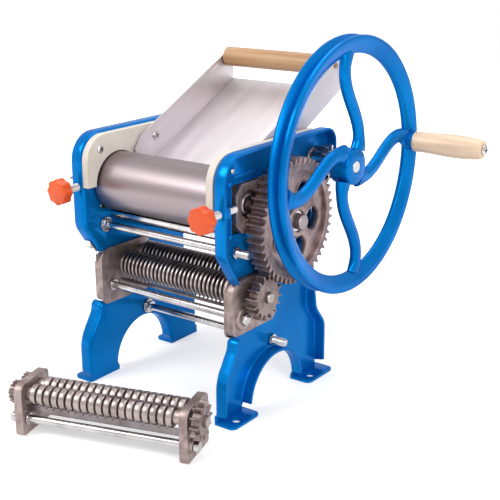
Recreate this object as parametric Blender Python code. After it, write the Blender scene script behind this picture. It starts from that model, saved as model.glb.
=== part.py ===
# Hand-cranked noodle maker: two dough rollers in a sheet-metal stand, a handwheel drive,
# a fitted noodle cutter, a spare cutter standing in front, and a sheet-metal dough tray.
# Metres, +Z up.  +X is the handwheel side, -Y is the front.
import math

import bmesh
import bpy
from mathutils import Vector

mm = 0.001

# Clearances
gap = 0.3 * mm
bearing_gap = 0.35 * mm
overrun = 4 * mm
weld_distance = 0.005 * mm

# Gear train.  The big gear is on the rear roller.
gear_module = 3 * mm
big_gear_teeth = 46
pinion_teeth = 12
cutter_gear_teeth = 16
spare_gear_teeth = 12
roller_gear_teeth = 13
sync_gear_teeth = 15
pressure_angle = math.radians(20)
big_gear_width = 21 * mm
pinion_width = 19 * mm
cutter_gear_width = 12 * mm
spare_gear_width = 10 * mm
roller_gear_width = 16 * mm
sync_gear_width = 6 * mm

# Tooth shapes: backlash and tooth height shares of the module
gear_backlash = 0.7 * mm
roller_gear_backlash = 1.9 * mm
addendum_share = 0.95
dedendum_share = 1.2
roller_addendum_share = 0.9
roller_dedendum_share = 1.3
undercut_share = 0.8
fewest_full_teeth = 17

# Dough rollers
roller_radius = 35 * mm
roller_gap = 1.5 * mm
front_axis_height = 241.3 * mm
roller_line_angle = math.radians(-25.2)
roller_shaft_radius = 11 * mm
roller_shaft_end_radius = 9 * mm
front_roller_travel_in = 1.1 * mm
front_roller_travel_out = 2.5 * mm

# Directions from the rear roller's axis to the handwheel shaft and to the cutter's front roller
drive_line_angle = math.radians(38)
cutter_line_angle = math.radians(-126.9)

# Side frames: distances from the middle, and the sheet
frame_inner = 94 * mm
sheet = 3 * mm
flange_reach = 16 * mm
head_front = 52 * mm
head_rise = 60.7 * mm
head_front_round = 32 * mm
head_rear_round = 20 * mm
head_rear_margin = 32 * mm
head_rear_drop = 52 * mm
waist_rear = 127 * mm
waist_drop = 19.3 * mm
waist_top = front_axis_height - waist_drop
waist_bottom = 87 * mm
waist_round = 14 * mm
leg_rear_top = 62 * mm
leg_round = 18 * mm
small_round = 3 * mm
cut_through = 1.5 * mm
arch_middle = 45 * mm
arch_radius = 50 * mm
arch_lift = 5 * mm
front_foot_length = 48.5 * mm
rear_foot_length = 52 * mm
leg_front_top = 52 * mm
neck_low = 84 * mm
neck_front = 33 * mm
tip_front = 29 * mm
head_low_drop = 48.3 * mm
head_low_front = front_axis_height - head_low_drop
head_low_round = 22 * mm
flange_stop = 11 * mm
tab_reach = 28 * mm
tab_side = 2 * mm
tab_corner = 7 * mm
tab_hole_radius = 5 * mm
tab_hole_out = 17.7 * mm
front_hole_from_foot_end = 16.6 * mm
rear_hole_from_foot_end = 34.4 * mm
rib_front = -20 * mm
rib_rear = 20 * mm
rib_height = 5 * mm
rib_rise = 31.5 * mm
rib_proud = 1.5 * mm

# Bearing window and the sliding blocks of the front roller
block_front = 22 * mm
block_rear = 24 * mm
block_low = 30 * mm
block_high = 24.4 * mm
block_chamfer = 10 * mm
block_proud = 8.6 * mm
block_outer = frame_inner + block_proud
counterbore_radius = 16 * mm
counterbore_depth = 3 * mm
window_rear = 38 * mm
window_round = 4 * mm

# Fixed bearings
bearing_flange_radius = 22 * mm
bearing_sleeve_radius = 17 * mm
bearing_flange = 4.4 * mm
shaft_bearing_flange_radius = 17 * mm
shaft_bearing_sleeve_radius = 13 * mm

# Cheek liners
liner_outer = frame_inner - gap
liner_thickness = 8.5 * mm
liner_front = 51.5 * mm
liner_drop = 2 * mm
liner_rear = 157 * mm
liner_low = 24 * mm
liner_roller_gap = 1.5 * mm
liner_slide_gap = 0.8 * mm
liner_front_round = 30 * mm
liner_rear_round = 16 * mm
liner_rear_angle = math.radians(15)
liner_shaft_turn = math.radians(130)

# Tie rods: places, radius, washers and nuts
front_rod_y = -17.5 * mm
front_rod_drop = 50.9 * mm
front_rod_z = front_axis_height - front_rod_drop
lower_rod_y = 51 * mm
lower_rod_z = 67 * mm
rod_radius = 4.4 * mm
washer_radius = 9 * mm
washer_thickness = 1.6 * mm
nut_radius = 8 * mm
nut_thickness = 5 * mm
rod_stub = 20 * mm

# Scrapers
scraper_blade = 1.2 * mm
scraper_gap = 0.8 * mm
scraper_bar_height = 8 * mm
scraper_bar_depth = 8 * mm
scraper_bar_drop = 35.5 * mm
scraper_bar_back = 1 * mm
scraper_blade_reach = 9 * mm

# Knobs and adjusting screws
screw_from_web = 8.5 * mm
screw_out = frame_inner + screw_from_web
screw_radius = 4.5 * mm
weld_nut_radius = 9 * mm
weld_nut_length = 8 * mm
knob_radius = 15.3 * mm
knob_lobe = 1.6 * mm
knob_lobes = 8
knob_length = 13 * mm
knob_front = 86 * mm
knob_boss_radius = 7.5 * mm
knob_boss_length = 5 * mm
knob_bore_depth = 9 * mm

# Gear places along X
big_gear_from_web = 9.3 * mm
big_gear_start = frame_inner + big_gear_from_web
big_gear_recess = 4 * mm
big_gear_back_recess = 7 * mm
big_gear_rim_inner = 58 * mm
big_gear_hub_radius = 18 * mm
big_gear_hole_radius = 13 * mm
big_gear_hole_ring = 33 * mm
big_gear_hole_angle = math.radians(-7)
big_gear_holes = 5
circlip_radius = 12 * mm
circlip_thickness = 1.6 * mm
circlip_recess = 4 * mm
rear_shaft_proud = 7 * mm
gear_clearance = 2 * mm
roller_gear_from_web = 18 * mm
roller_gear_start = frame_inner + roller_gear_from_web
roller_gear_shaft_proud = 3 * mm
cutter_gear_from_web = 16.5 * mm
cutter_gear_start = frame_inner + cutter_gear_from_web
cutter_gear_boss_radius = 11 * mm
gear_from_boss = 0.5 * mm

# Handwheel
wheel_radius = 147.5 * mm
wheel_from_web = 63 * mm
wheel_front = frame_inner + wheel_from_web
wheel_rim_width = 20.5 * mm
wheel_rim_depth = 21 * mm
rim_dish = 7 * mm
rim_land = 4.5 * mm
rim_back_flange = 3.5 * mm
groove_width = 13 * mm
groove_floor_width = 5 * mm
groove_depth = 10 * mm
rim_edge = 2.5 * mm
wheel_hub_radius = 21 * mm
wheel_hub_length = 25 * mm
wheel_spokes = 4
spoke_half_width = 8.5 * mm
spoke_half_depth = 6 * mm
spoke_from_front = 8.5 * mm
spoke_sway = 17 * mm
spoke_start_share = 0.75
spoke_end_share = 0.8
spoke_sway_turns_share = 1.41
spoke_sway_start_share = -0.655
spoke_stations = 8
spoke_sides = 6
wheel_shaft_radius = 9 * mm
wheel_shaft_end_radius = 7 * mm
drive_shaft_proud = 9 * mm
drive_shaft_left = frame_inner + drive_shaft_proud

# Handle on the handwheel's rim
handle_in = 12.5 * mm
handle_ring = wheel_radius - handle_in
handle_angle = math.radians(3.2)
handle_boss_radius = 11 * mm
handle_boss_height = 3 * mm
spindle_radius = 4 * mm
spindle_head_radius = 6.5 * mm
spindle_head_length = 3 * mm
grip_length = 90 * mm
grip_radius = 14 * mm
grip_neck_radius = 10.5 * mm
grip_end_radius = 11 * mm
grip_stations = 6
grip_swell_share = 0.8
spindle_head_share = 0.7

# Dough tray and its stick
tray_sheet = 1.2 * mm
tray_side_gap = 2.8 * mm
tray_slope = math.radians(26.1)
tray_rear = 216 * mm
tray_floor_front = 39 * mm
tray_floor_rise = 7.5 * mm
tray_wall_front = 23.6 * mm
tray_wall_front_height = 33 * mm
tray_wall_top_front = 36 * mm
tray_wall_top_height = 49 * mm
tray_round = 8 * mm
stick_radius = 12.2 * mm
stick_end_gap = 1 * mm
stick_pin_radius = 3 * mm
stick_from_rear = 11 * mm
stick_from_top = 13 * mm

# Cutters: ring rollers, plates and combs
fitted_ring_radius = 16.5 * mm
fitted_groove_radius = 10 * mm
fitted_centres = 31.5 * mm
fitted_tilt = math.radians(10)
fitted_comb_drop = 18 * mm
fitted_comb_back = 4.5 * mm
spare_ring_radius = 11.5 * mm
spare_groove_radius = 7 * mm
spare_centres = 22.5 * mm
spare_tilt = 0.0
spare_comb_drop = 13 * mm
spare_comb_back = 3.5 * mm
ring_zone_ends = 20 * mm
ring_zone = 2 * frame_inner - ring_zone_ends
fitted_rings = 28
spare_rings = 19
ring_width_share = 0.36
cutter_shaft_radius = 6 * mm
cutter_shaft_proud = 4 * mm
plate_sunk = 3 * mm
plate_proud = 8.5 * mm
plate_inner = frame_inner - plate_sunk
plate_outer = frame_inner + plate_proud
plate_round = 9 * mm
plate_top_front_round = 15 * mm
plate_lip = 3 * mm
fitted_plate_front = 39.8 * mm
fitted_plate_back = 42.2 * mm
fitted_plate_low = 41 * mm
fitted_plate_high = 21.6 * mm
spare_plate_thickness = 9.5 * mm
spare_plate_outer = plate_inner + spare_plate_thickness
spare_plate_front = 16 * mm
spare_plate_back = 42 * mm
spare_plate_low = 44.5 * mm
spare_plate_high = 14 * mm
fitted_boss_radius = 13 * mm
spare_boss_radius = 8 * mm
plate_boss_height = 3 * mm
cutter_rod_radius = 4.5 * mm
fitted_rod_back = 18.5 * mm
fitted_rod_rise = 18.5 * mm
spare_rod_back = 11 * mm
spare_rod_rise = 17 * mm
fitted_rod_nut_radius = 7.5 * mm
spare_rod_nut_radius = 6.5 * mm
cutter_rod_end = 0.5 * mm
comb_thickness = 1.5 * mm
comb_bar_height = 4 * mm
fitted_finger_gap = 4 * mm
spare_finger_gap = 3 * mm
front_ring_share = 0.25
rear_ring_share = 0.75

# Where the spare cutter stands: the middle of its plates' front edges, and its turn
spare_middle_x = 32.6 * mm
spare_middle_y = -171.18 * mm
spare_turn = math.radians(16.9)

# Cutter latches
latch_width = 8 * mm
latch_sheet = 1.4 * mm
latch_up = 16 * mm
latch_down = 14 * mm
latch_screw_radius = 2.5 * mm
latch_head_radius = 4.5 * mm
latch_head_height = 2.5 * mm
screw_head_room = 0.7 * mm

# Worked-out axes in the machine's own frame: (y, z)
centre_distance = 2 * roller_radius + roller_gap
front_axis = (0.0, front_axis_height)
rear_axis = (
    front_axis[0] + centre_distance * math.cos(roller_line_angle),
    front_axis[1] + centre_distance * math.sin(roller_line_angle),
)
drive_distance = gear_module * (big_gear_teeth + pinion_teeth) / 2
drive_axis = (
    rear_axis[0] + drive_distance * math.cos(drive_line_angle),
    rear_axis[1] + drive_distance * math.sin(drive_line_angle),
)
cutter_distance = gear_module * (big_gear_teeth + cutter_gear_teeth) / 2
cutter_axis = (
    rear_axis[0] + cutter_distance * math.cos(cutter_line_angle),
    rear_axis[1] + cutter_distance * math.sin(cutter_line_angle),
)
frame_outer = frame_inner + sheet
tray_half_width = liner_outer - liner_thickness - tray_side_gap
flange_rim = frame_inner + flange_reach
head_top = front_axis_height + head_rise
head_rear = drive_axis[0] + head_rear_margin
notch_low = cutter_axis[1] - fitted_plate_low - gap
notch_high = cutter_axis[1] + fitted_plate_high + gap
notch_rear = cutter_axis[0] + fitted_plate_back + gap

# The object's box, so that its bottom middle is the origin
handle_y = drive_axis[0] + handle_ring * math.cos(handle_angle)
handle_z = drive_axis[1] + handle_ring * math.sin(handle_angle)
grip_start = wheel_front + handle_boss_height + gap
grip_end = grip_start + grip_length
box_right = grip_end + gap + spindle_head_length
box_left = -(roller_gear_start + roller_gear_width + roller_gear_shaft_proud)
box_rear = drive_axis[0] + wheel_radius
box_front = spare_middle_y - spare_plate_outer * math.sin(spare_turn)
box_middle_x = (box_left + box_right) / 2
box_middle_y = (box_front + box_rear) / 2

# Facets
round_steps = 16
small_steps = 12
rod_steps = 8
ring_steps = 8
roller_steps = 24
recess_steps = 20
wheel_steps = 40
corner_steps = 3
hex_sides = 6
lobe_facets = 4


def clear_scene():
    for old in list(bpy.data.objects):
        bpy.data.objects.remove(old, do_unlink=True)


def material(name, colour, roughness, metallic):
    made = bpy.data.materials.new(name)
    made.use_nodes = True
    shader = made.node_tree.nodes["Principled BSDF"]
    shader.inputs["Base Color"].default_value = (*colour, 1.0)
    shader.inputs["Roughness"].default_value = roughness
    shader.inputs["Metallic"].default_value = metallic
    made.diffuse_color = (*colour, 1.0)
    return made


def pivot(name, place, parent=None, turn=0.0):
    empty = bpy.data.objects.new(name, None)
    bpy.context.scene.collection.objects.link(empty)
    empty.location = place
    empty.rotation_euler = (0.0, 0.0, turn)
    empty.parent = parent
    return empty


def piece(name, shape, finish, parent, place=(0.0, 0.0, 0.0), smooth=True):
    bmesh.ops.remove_doubles(shape, verts=shape.verts, dist=weld_distance)
    bmesh.ops.recalc_face_normals(shape, faces=shape.faces)
    mesh = bpy.data.meshes.new(name)
    shape.to_mesh(mesh)
    shape.free()
    if smooth:
        mesh.shade_smooth()
        mesh.set_sharp_from_angle(angle=math.radians(35))
    mesh.materials.append(finish)
    made = bpy.data.objects.new(name, mesh)
    bpy.context.scene.collection.objects.link(made)
    made.location = place
    made.parent = parent
    return made


def helper(made):
    made.hide_render = True
    made.display_type = "WIRE"
    return made


def combine(target, tool, how):
    helper(tool)
    modifier = target.modifiers.new(tool.name, "BOOLEAN")
    modifier.operation = how
    modifier.solver = "EXACT"
    modifier.object = tool


# Shapes

def prism(outline, start, end, holes=(), along="X"):
    # A flat outline with holes, extruded from start to end along one axis.
    shape = bmesh.new()
    turn = {
        "X": lambda u, v, w: (w, u, v),
        "Y": lambda u, v, w: (u, w, v),
        "Z": lambda u, v, w: (u, v, w),
    }[along]
    edges = []
    for loop in (outline, *holes):
        corners = [shape.verts.new(turn(u, v, start)) for u, v in loop]
        for index, corner in enumerate(corners):
            edges.append(shape.edges.new((corner, corners[index - 1])))
    if holes:
        bmesh.ops.triangle_fill(shape, use_beauty=True, edges=edges, normal=turn(0.0, 0.0, 1.0))
    else:
        shape.faces.new(list(shape.verts))
    swept = bmesh.ops.extrude_face_region(shape, geom=list(shape.faces))
    moved = [item for item in swept["geom"] if isinstance(item, bmesh.types.BMVert)]
    bmesh.ops.translate(shape, verts=moved, vec=turn(0.0, 0.0, end - start))
    return shape


def turned(profile, steps, ring=False):
    # A profile of (x, radius) points spun about X.  A ring's profile closes on itself.
    shape = bmesh.new()
    points = [shape.verts.new((x, 0.0, radius)) for x, radius in profile]
    edges = [shape.edges.new(pair) for pair in zip(points, points[1:])]
    if ring:
        edges.append(shape.edges.new((points[-1], points[0])))
    bmesh.ops.spin(
        shape,
        geom=points + edges,
        cent=(0.0, 0.0, 0.0),
        axis=(1.0, 0.0, 0.0),
        angle=math.tau,
        steps=steps,
        use_merge=True,
    )
    return shape


def bar(start, end, radius, steps):
    return turned([(start, 0.0), (start, radius), (end, radius), (end, 0.0)], steps)


def washer(start, end, inner, outer, steps):
    return turned([(start, inner), (start, outer), (end, outer), (end, inner)], steps, ring=True)


def circle(radius, steps, middle=(0.0, 0.0), phase=0.0):
    return [
        (
            middle[0] + radius * math.cos(phase + math.tau * step / steps),
            middle[1] + radius * math.sin(phase + math.tau * step / steps),
        )
        for step in range(steps)
    ]


def corner_arc(before, corner, after):
    # The points that round one corner (u, v, radius) between its two neighbours.
    here = Vector(corner[:2])
    back = Vector(before[:2]) - here
    ahead = Vector(after[:2]) - here
    half = back.angle(ahead) / 2
    if corner[2] == 0:
        return [tuple(here)]
    reach = min(corner[2] / math.tan(half), back.length / 2, ahead.length / 2)
    radius = reach * math.tan(half)
    first = here + back.normalized() * reach
    last = here + ahead.normalized() * reach
    middle = here + (back.normalized() + ahead.normalized()).normalized() * (radius / math.sin(half))
    start = first - middle
    end = last - middle
    side = 1 if start.x * end.y - start.y * end.x > 0 else -1
    sweep = side * (math.pi - 2 * half)
    points = []
    for step in range(corner_steps + 1):
        angle = sweep * step / corner_steps
        across = start.x * math.cos(angle) - start.y * math.sin(angle)
        along = start.x * math.sin(angle) + start.y * math.cos(angle)
        points.append((middle.x + across, middle.y + along))
    return points


def rounded(corners):
    outline = []
    for index, corner in enumerate(corners):
        outline += corner_arc(corners[index - 1], corner, corners[(index + 1) % len(corners)])
    return outline


def inset(outline, depths):
    # Moves each edge of a counter-clockwise outline inwards by its own depth.
    lines = []
    count = len(outline)
    for index in range(count):
        first = Vector(outline[index])
        last = Vector(outline[(index + 1) % count])
        along = (last - first).normalized()
        inward = Vector((-along.y, along.x))
        lines.append((first + inward * depths[index], along))
    moved = []
    for index in range(count):
        base_a, along_a = lines[index - 1]
        base_b, along_b = lines[index]
        cross = along_a.x * along_b.y - along_a.y * along_b.x
        if abs(cross) < math.sin(math.radians(1)):
            moved.append(tuple(base_b))
            continue
        delta = base_b - base_a
        reach = (delta.x * along_b.y - delta.y * along_b.x) / cross
        moved.append(tuple(base_a + along_a * reach))
    return moved


# Gears

def tooth_half_angle(radius, teeth, module, backlash):
    pitch = teeth * module / 2
    base = pitch * math.cos(pressure_angle)
    at_pitch = (math.pi * module / 2 - backlash) / (2 * pitch)
    start = math.tan(pressure_angle) - pressure_angle
    if radius <= base:
        return at_pitch + start
    angle = math.acos(base / radius)
    return at_pitch + start - (math.tan(angle) - angle)


def gear_outline(teeth, module, backlash, addendum, dedendum, phase):
    # Each tooth has straight flanks from its root to its tip.
    pitch = teeth * module / 2
    root = pitch - dedendum
    tip = pitch + addendum
    root_half = tooth_half_angle(root, teeth, module, backlash)
    tip_half = tooth_half_angle(tip, teeth, module, backlash)
    if teeth < fewest_full_teeth:
        root_half *= undercut_share
    outline = []
    for tooth in range(teeth):
        middle = phase + math.tau * tooth / teeth
        for radius, angle in (
            (root, middle - root_half),
            (tip, middle - tip_half),
            (tip, middle + tip_half),
            (root, middle + root_half),
        ):
            outline.append((radius * math.cos(angle), radius * math.sin(angle)))
    return outline


def mate_phase(phase, teeth, mate_teeth, line_angle):
    # The phase of a gear whose axis lies at line_angle from a gear with a tooth at phase.
    offset = (line_angle - phase) % (math.tau / teeth)
    return line_angle + math.pi + offset * teeth / mate_teeth + math.pi / mate_teeth


# Stand

def frame_corners():
    arch_front = arch_middle - arch_radius
    arch_rear = arch_middle + arch_radius
    foot_front = arch_front - front_foot_length
    foot_rear = arch_rear + rear_foot_length
    flanged = 1
    plain = 0
    # (y, z, round, whether the edge that starts here has the flange)
    return [
        (foot_rear, 0.0, 0.0, flanged),
        (foot_rear, leg_rear_top, leg_round, flanged),
        (waist_rear, waist_bottom, leg_round, flanged),
        (waist_rear, waist_top, waist_round, flanged),
        (head_rear, head_top - head_rear_drop, waist_round, flanged),
        (head_rear, head_top, head_rear_round, flanged),
        (-head_front, head_top, head_front_round, flanged),
        (-head_front, head_low_front, head_low_round, flanged),
        (-tip_front, notch_high, 0.0, plain),
        (notch_rear, notch_high, small_round, plain),
        (notch_rear, notch_low, small_round, plain),
        (-neck_front, notch_low, 0.0, flanged),
        (-neck_front, neck_low, leg_round, flanged),
        (foot_front, leg_front_top, leg_round, flanged),
        (foot_front, 0.0, 0.0, plain),
        (arch_front, 0.0, 0.0, flanged),
        (arch_front, arch_lift, 0.0, flanged),
    ]


def frame_outline():
    # The outline and, for each of its edges, the flange thickness or a cut-through depth.
    outline = []
    depths = []
    corners = frame_corners()
    for index, corner in enumerate(corners):
        before = corners[index - 1]
        after = corners[(index + 1) % len(corners)]
        points = corner_arc(before, corner[:3], after)
        flange_here = sheet if corner[3] else -cut_through
        flange_before = sheet if before[3] else -cut_through
        outline += points
        depths += [min(flange_here, flange_before)] * (len(points) - 1) + [flange_here]
    arch_steps = round_steps // 2
    for step in range(1, arch_steps):
        angle = math.pi - math.pi * step / arch_steps
        across = arch_radius * math.cos(angle)
        outline.append((arch_middle + across, arch_lift + arch_radius * math.sin(angle)))
        depths.append(sheet)
    outline.append((arch_middle + arch_radius, arch_lift))
    depths.append(sheet)
    outline.append((arch_middle + arch_radius, 0.0))
    depths.append(-cut_through)
    return outline, depths


def side_frame(name, side, machine):
    outline, depths = frame_outline()
    frame = piece(name, prism(outline, side * frame_inner, side * flange_rim), paint, machine)

    pocket = prism(inset(outline, depths), side * frame_outer, side * (flange_rim + overrun))
    combine(frame, piece(name + "_pocket", pocket, paint, machine), "DIFFERENCE")

    foot_front = arch_middle - arch_radius - front_foot_length
    foot_rear = arch_middle + arch_radius + rear_foot_length
    feet = (
        (foot_front, arch_middle - arch_radius, foot_front + front_hole_from_foot_end),
        (arch_middle + arch_radius, foot_rear, foot_rear - rear_hole_from_foot_end),
    )
    for number, (near, far, hole_y) in enumerate(feet):
        stop = prism(
            [
                (near - overrun, sheet),
                (far + overrun, sheet),
                (far + overrun, flange_stop),
                (near - overrun, flange_stop),
            ],
            side * frame_outer,
            side * (flange_rim + overrun),
        )
        combine(frame, piece(name + "_flange_stop" + str(number), stop, paint, machine), "DIFFERENCE")
        low = near - (tab_side if number == 0 else 0.0)
        high = far + (tab_side if number == 1 else 0.0)
        corners = [
            (side * (frame_inner + sheet / 2), low, 0.0),
            (side * (frame_inner + tab_reach), low, tab_corner),
            (side * (frame_inner + tab_reach), high, tab_corner),
            (side * (frame_inner + sheet / 2), high, 0.0),
        ]
        hole = circle(tab_hole_radius, small_steps, (side * (frame_inner + tab_hole_out), hole_y))
        tab = prism(rounded(corners), 0.0, sheet, holes=(hole,), along="Z")
        combine(frame, piece(name + "_tab" + str(number), tab, paint, machine), "UNION")

    nut = prism(
        circle(weld_nut_radius, hex_sides, (side * screw_out, front_axis[1]), math.pi / hex_sides),
        -head_front + sheet / 2,
        -head_front + sheet + weld_nut_length,
        along="Y",
    )
    combine(frame, piece(name + "_weld_nut", nut, paint, machine, smooth=False), "UNION")
    screw_hole = prism(
        circle(screw_radius + gap, small_steps, (side * screw_out, front_axis[1])),
        -head_front - overrun,
        -head_front + sheet + weld_nut_length + overrun,
        along="Y",
    )
    combine(frame, piece(name + "_screw_hole", screw_hole, paint, machine), "DIFFERENCE")

    window = rounded([
        (-block_front - front_roller_travel_out - gap, front_axis[1] - block_low - gap, window_round),
        (window_rear, front_axis[1] - block_low - gap, window_round),
        (window_rear, front_axis[1] + block_high + gap, window_round),
        (-block_front - front_roller_travel_out - gap, front_axis[1] + block_high + gap, window_round),
    ])
    holes = (
        ("_window", window),
        ("_bearing_hole", circle(bearing_sleeve_radius + gap, round_steps, rear_axis)),
        ("_shaft_hole", circle(shaft_bearing_sleeve_radius + gap, round_steps, drive_axis)),
        ("_front_rod_hole", circle(rod_radius + gap, small_steps, (front_rod_y, front_rod_z))),
        ("_lower_rod_hole", circle(rod_radius + gap, small_steps, (lower_rod_y, lower_rod_z))),
    )
    for hole_name, loop in holes:
        cutter = prism(loop, side * (frame_inner - overrun), side * (frame_outer + overrun))
        combine(frame, piece(name + hole_name, cutter, paint, machine), "DIFFERENCE")

    rib_low = front_axis[1] + rib_rise - rib_height / 2
    rib_high = rib_low + rib_height
    rib_outline = rounded([
        (rib_front, rib_low, rib_height / 2),
        (rib_rear, rib_low, rib_height / 2),
        (rib_rear, rib_high, rib_height / 2),
        (rib_front, rib_high, rib_height / 2),
    ])
    rib = prism(rib_outline, side * (frame_outer - sheet / 2), side * (frame_outer + rib_proud))
    combine(frame, piece(name + "_rib", rib, paint, machine), "UNION")

    if side > 0:
        tip_radius = gear_module * (big_gear_teeth + 2) / 2
        swing = prism(
            circle(tip_radius + gear_clearance, recess_steps, rear_axis),
            side * (frame_outer + sheet / 2),
            side * (flange_rim + overrun),
        )
        combine(frame, piece(name + "_gear_clearance", swing, paint, machine), "DIFFERENCE")
    return frame


def liner(name, side, machine):
    # Its front arc clears the front roller over the whole of its slide.
    reach = roller_radius + liner_roller_gap
    front_reach = roller_radius + (front_roller_travel_in + front_roller_travel_out) / 2 + liner_slide_gap
    front_middle = front_axis[0] - (front_roller_travel_out - front_roller_travel_in) / 2
    along = (rear_axis[0] - front_middle, rear_axis[1] - front_axis[1])
    apart = math.hypot(*along)
    line = math.atan2(along[1], along[0])
    to_nip = (apart ** 2 + front_reach ** 2 - reach ** 2) / (2 * apart)
    front_start = (-liner_front, front_axis[1])
    outline = rounded([
        (liner_rear, head_top - liner_drop - liner_low, 0.0),
        (liner_rear, head_top - liner_drop, liner_rear_round),
        (-liner_front, head_top - liner_drop, liner_front_round),
        (*front_start, 0.0),
    ])
    steps = round_steps // 2
    nip = line + math.acos(to_nip / front_reach)
    for step in range(round_steps + 1):
        angle = math.pi + (nip - math.pi) * step / round_steps
        rise = front_reach * math.sin(angle)
        outline.append((front_middle + front_reach * math.cos(angle), front_axis[1] + rise))
    first = math.pi + line - math.acos((apart - to_nip) / reach)
    last = liner_rear_angle
    for step in range(1, steps + 1):
        angle = first + (last - first) * step / steps
        outline.append((rear_axis[0] + reach * math.cos(angle), rear_axis[1] + reach * math.sin(angle)))
    low = rear_axis[1] + reach * math.sin(last)
    outline.append((drive_axis[0] - shaft_bearing_sleeve_radius - liner_roller_gap, low))
    around = shaft_bearing_sleeve_radius + liner_roller_gap
    for step in range(1, small_steps // 2 + 1):
        angle = math.pi - liner_shaft_turn * step / (small_steps // 2)
        outline.append((drive_axis[0] + around * math.cos(angle), drive_axis[1] + around * math.sin(angle)))
    cheek = prism(outline, side * (liner_outer - liner_thickness), side * liner_outer)
    return piece(name, cheek, cream, machine)


def tie_rod(name, y, z, machine, stub):
    end = frame_outer + stub
    rod = piece(name, bar(-end, end, rod_radius, rod_steps), steel, machine, (0.0, y, z))
    for side in (-1, 1):
        for number, face in enumerate((frame_inner - gap, frame_outer + gap)):
            outward = -1 if number == 0 else 1
            pads = (
                ("_washer", washer_radius, rod_steps, 0.0, washer_thickness),
                ("_nut", nut_radius, hex_sides, washer_thickness / 2, washer_thickness + nut_thickness),
            )
            for label, radius, steps, start, finish in pads:
                spot = sorted((side * (face + outward * start), side * (face + outward * finish)))
                pad = prism(circle(radius, steps), *spot)
                made = piece(name + label + str(number) + str(side), pad, steel, machine, (0.0, y, z))
                combine(rod, made, "UNION")
    return rod


def bearing(name, side, axis, flange_radius, sleeve_radius, bore_radius, machine):
    inner = side * (frame_inner - sheet / 2)
    face = side * (frame_outer + gap)
    outer = side * (frame_outer + gap + bearing_flange)
    profile = [
        (inner, bore_radius),
        (inner, sleeve_radius),
        (face, sleeve_radius),
        (face, flange_radius),
        (outer, flange_radius),
        (outer, bore_radius),
    ]
    return piece(name, turned(profile, round_steps, ring=True), cast, machine, (0.0, *axis))


def scraper(name, axis, toward, machine):
    # A flat bar under a roller with a thin blade that reaches towards its surface.
    top = axis[1] - scraper_bar_drop
    tip = axis[1] - roller_radius - scraper_gap
    near = axis[0] - toward * scraper_bar_back
    far = near - toward * scraper_bar_depth
    reach = near + toward * scraper_blade_reach
    outline = [
        (far, top - scraper_bar_height),
        (near, top - scraper_bar_height),
        (near, tip - 2 * scraper_blade),
        (reach, tip - scraper_blade),
        (reach, tip - scraper_blade / 2),
        (near, tip - scraper_blade / 2),
        (far, tip - scraper_blade / 2),
    ]
    half = frame_inner - gap
    return piece(name, prism(outline, -half, half), steel, machine)


# Dough rollers and their gears

def roller(name, left_end, left_radius, right_end, right_radius, parent):
    # The body, a journal each side up to the shoulder, and the two shaft ends.
    body_end = frame_inner - sheet / 2 - gap
    shoulder = big_gear_start - gap
    profile = [
        (left_end, 0.0),
        (left_end, left_radius),
        (-body_end, left_radius),
        (-body_end, roller_radius),
        (body_end, roller_radius),
        (body_end, roller_shaft_radius),
        (shoulder, roller_shaft_radius),
        (shoulder, right_radius),
        (right_end, right_radius),
        (right_end, 0.0),
    ]
    if right_end <= shoulder:
        profile = profile[:6] + [(right_end, roller_shaft_radius), (right_end, 0.0)]
    return piece(name, turned(profile, roller_steps), satin, parent)


def front_block(name, side, parent):
    low = -block_low
    outline = [
        (block_rear, low),
        (block_rear, block_high),
        (-block_front + block_chamfer, block_high),
        (-block_front, block_high - block_chamfer),
        (-block_front, low + block_chamfer),
        (-block_front + block_chamfer, low),
    ]
    bore = circle(roller_shaft_radius + bearing_gap, round_steps)
    inner = frame_inner - sheet / 2
    block = piece(name, prism(outline, side * inner, side * block_outer, holes=(bore,)), cast, parent)
    start = block_outer - counterbore_depth
    recess = bar(*sorted((side * start, side * (block_outer + overrun))), counterbore_radius, round_steps)
    combine(block, piece(name + "_counterbore", recess, cast, parent), "DIFFERENCE")
    return block


def spur_gear(name, outline, start, width, bore_radius, finish, parent, boss=None):
    made = piece(name, prism(outline, start, start + width), finish, parent)
    far = start + width
    near = start
    if boss:
        boss_start, boss_radius = boss
        ends = sorted((boss_start, start + width / 2))
        near = min(near, boss_start)
        far = max(far, boss_start)
        collar = piece(name + "_boss", bar(*ends, boss_radius, round_steps), finish, parent)
        combine(made, collar, "UNION")
    bore = bar(near - overrun, far + overrun, bore_radius, round_steps)
    combine(made, piece(name + "_bore", bore, finish, parent), "DIFFERENCE")
    return made


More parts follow.
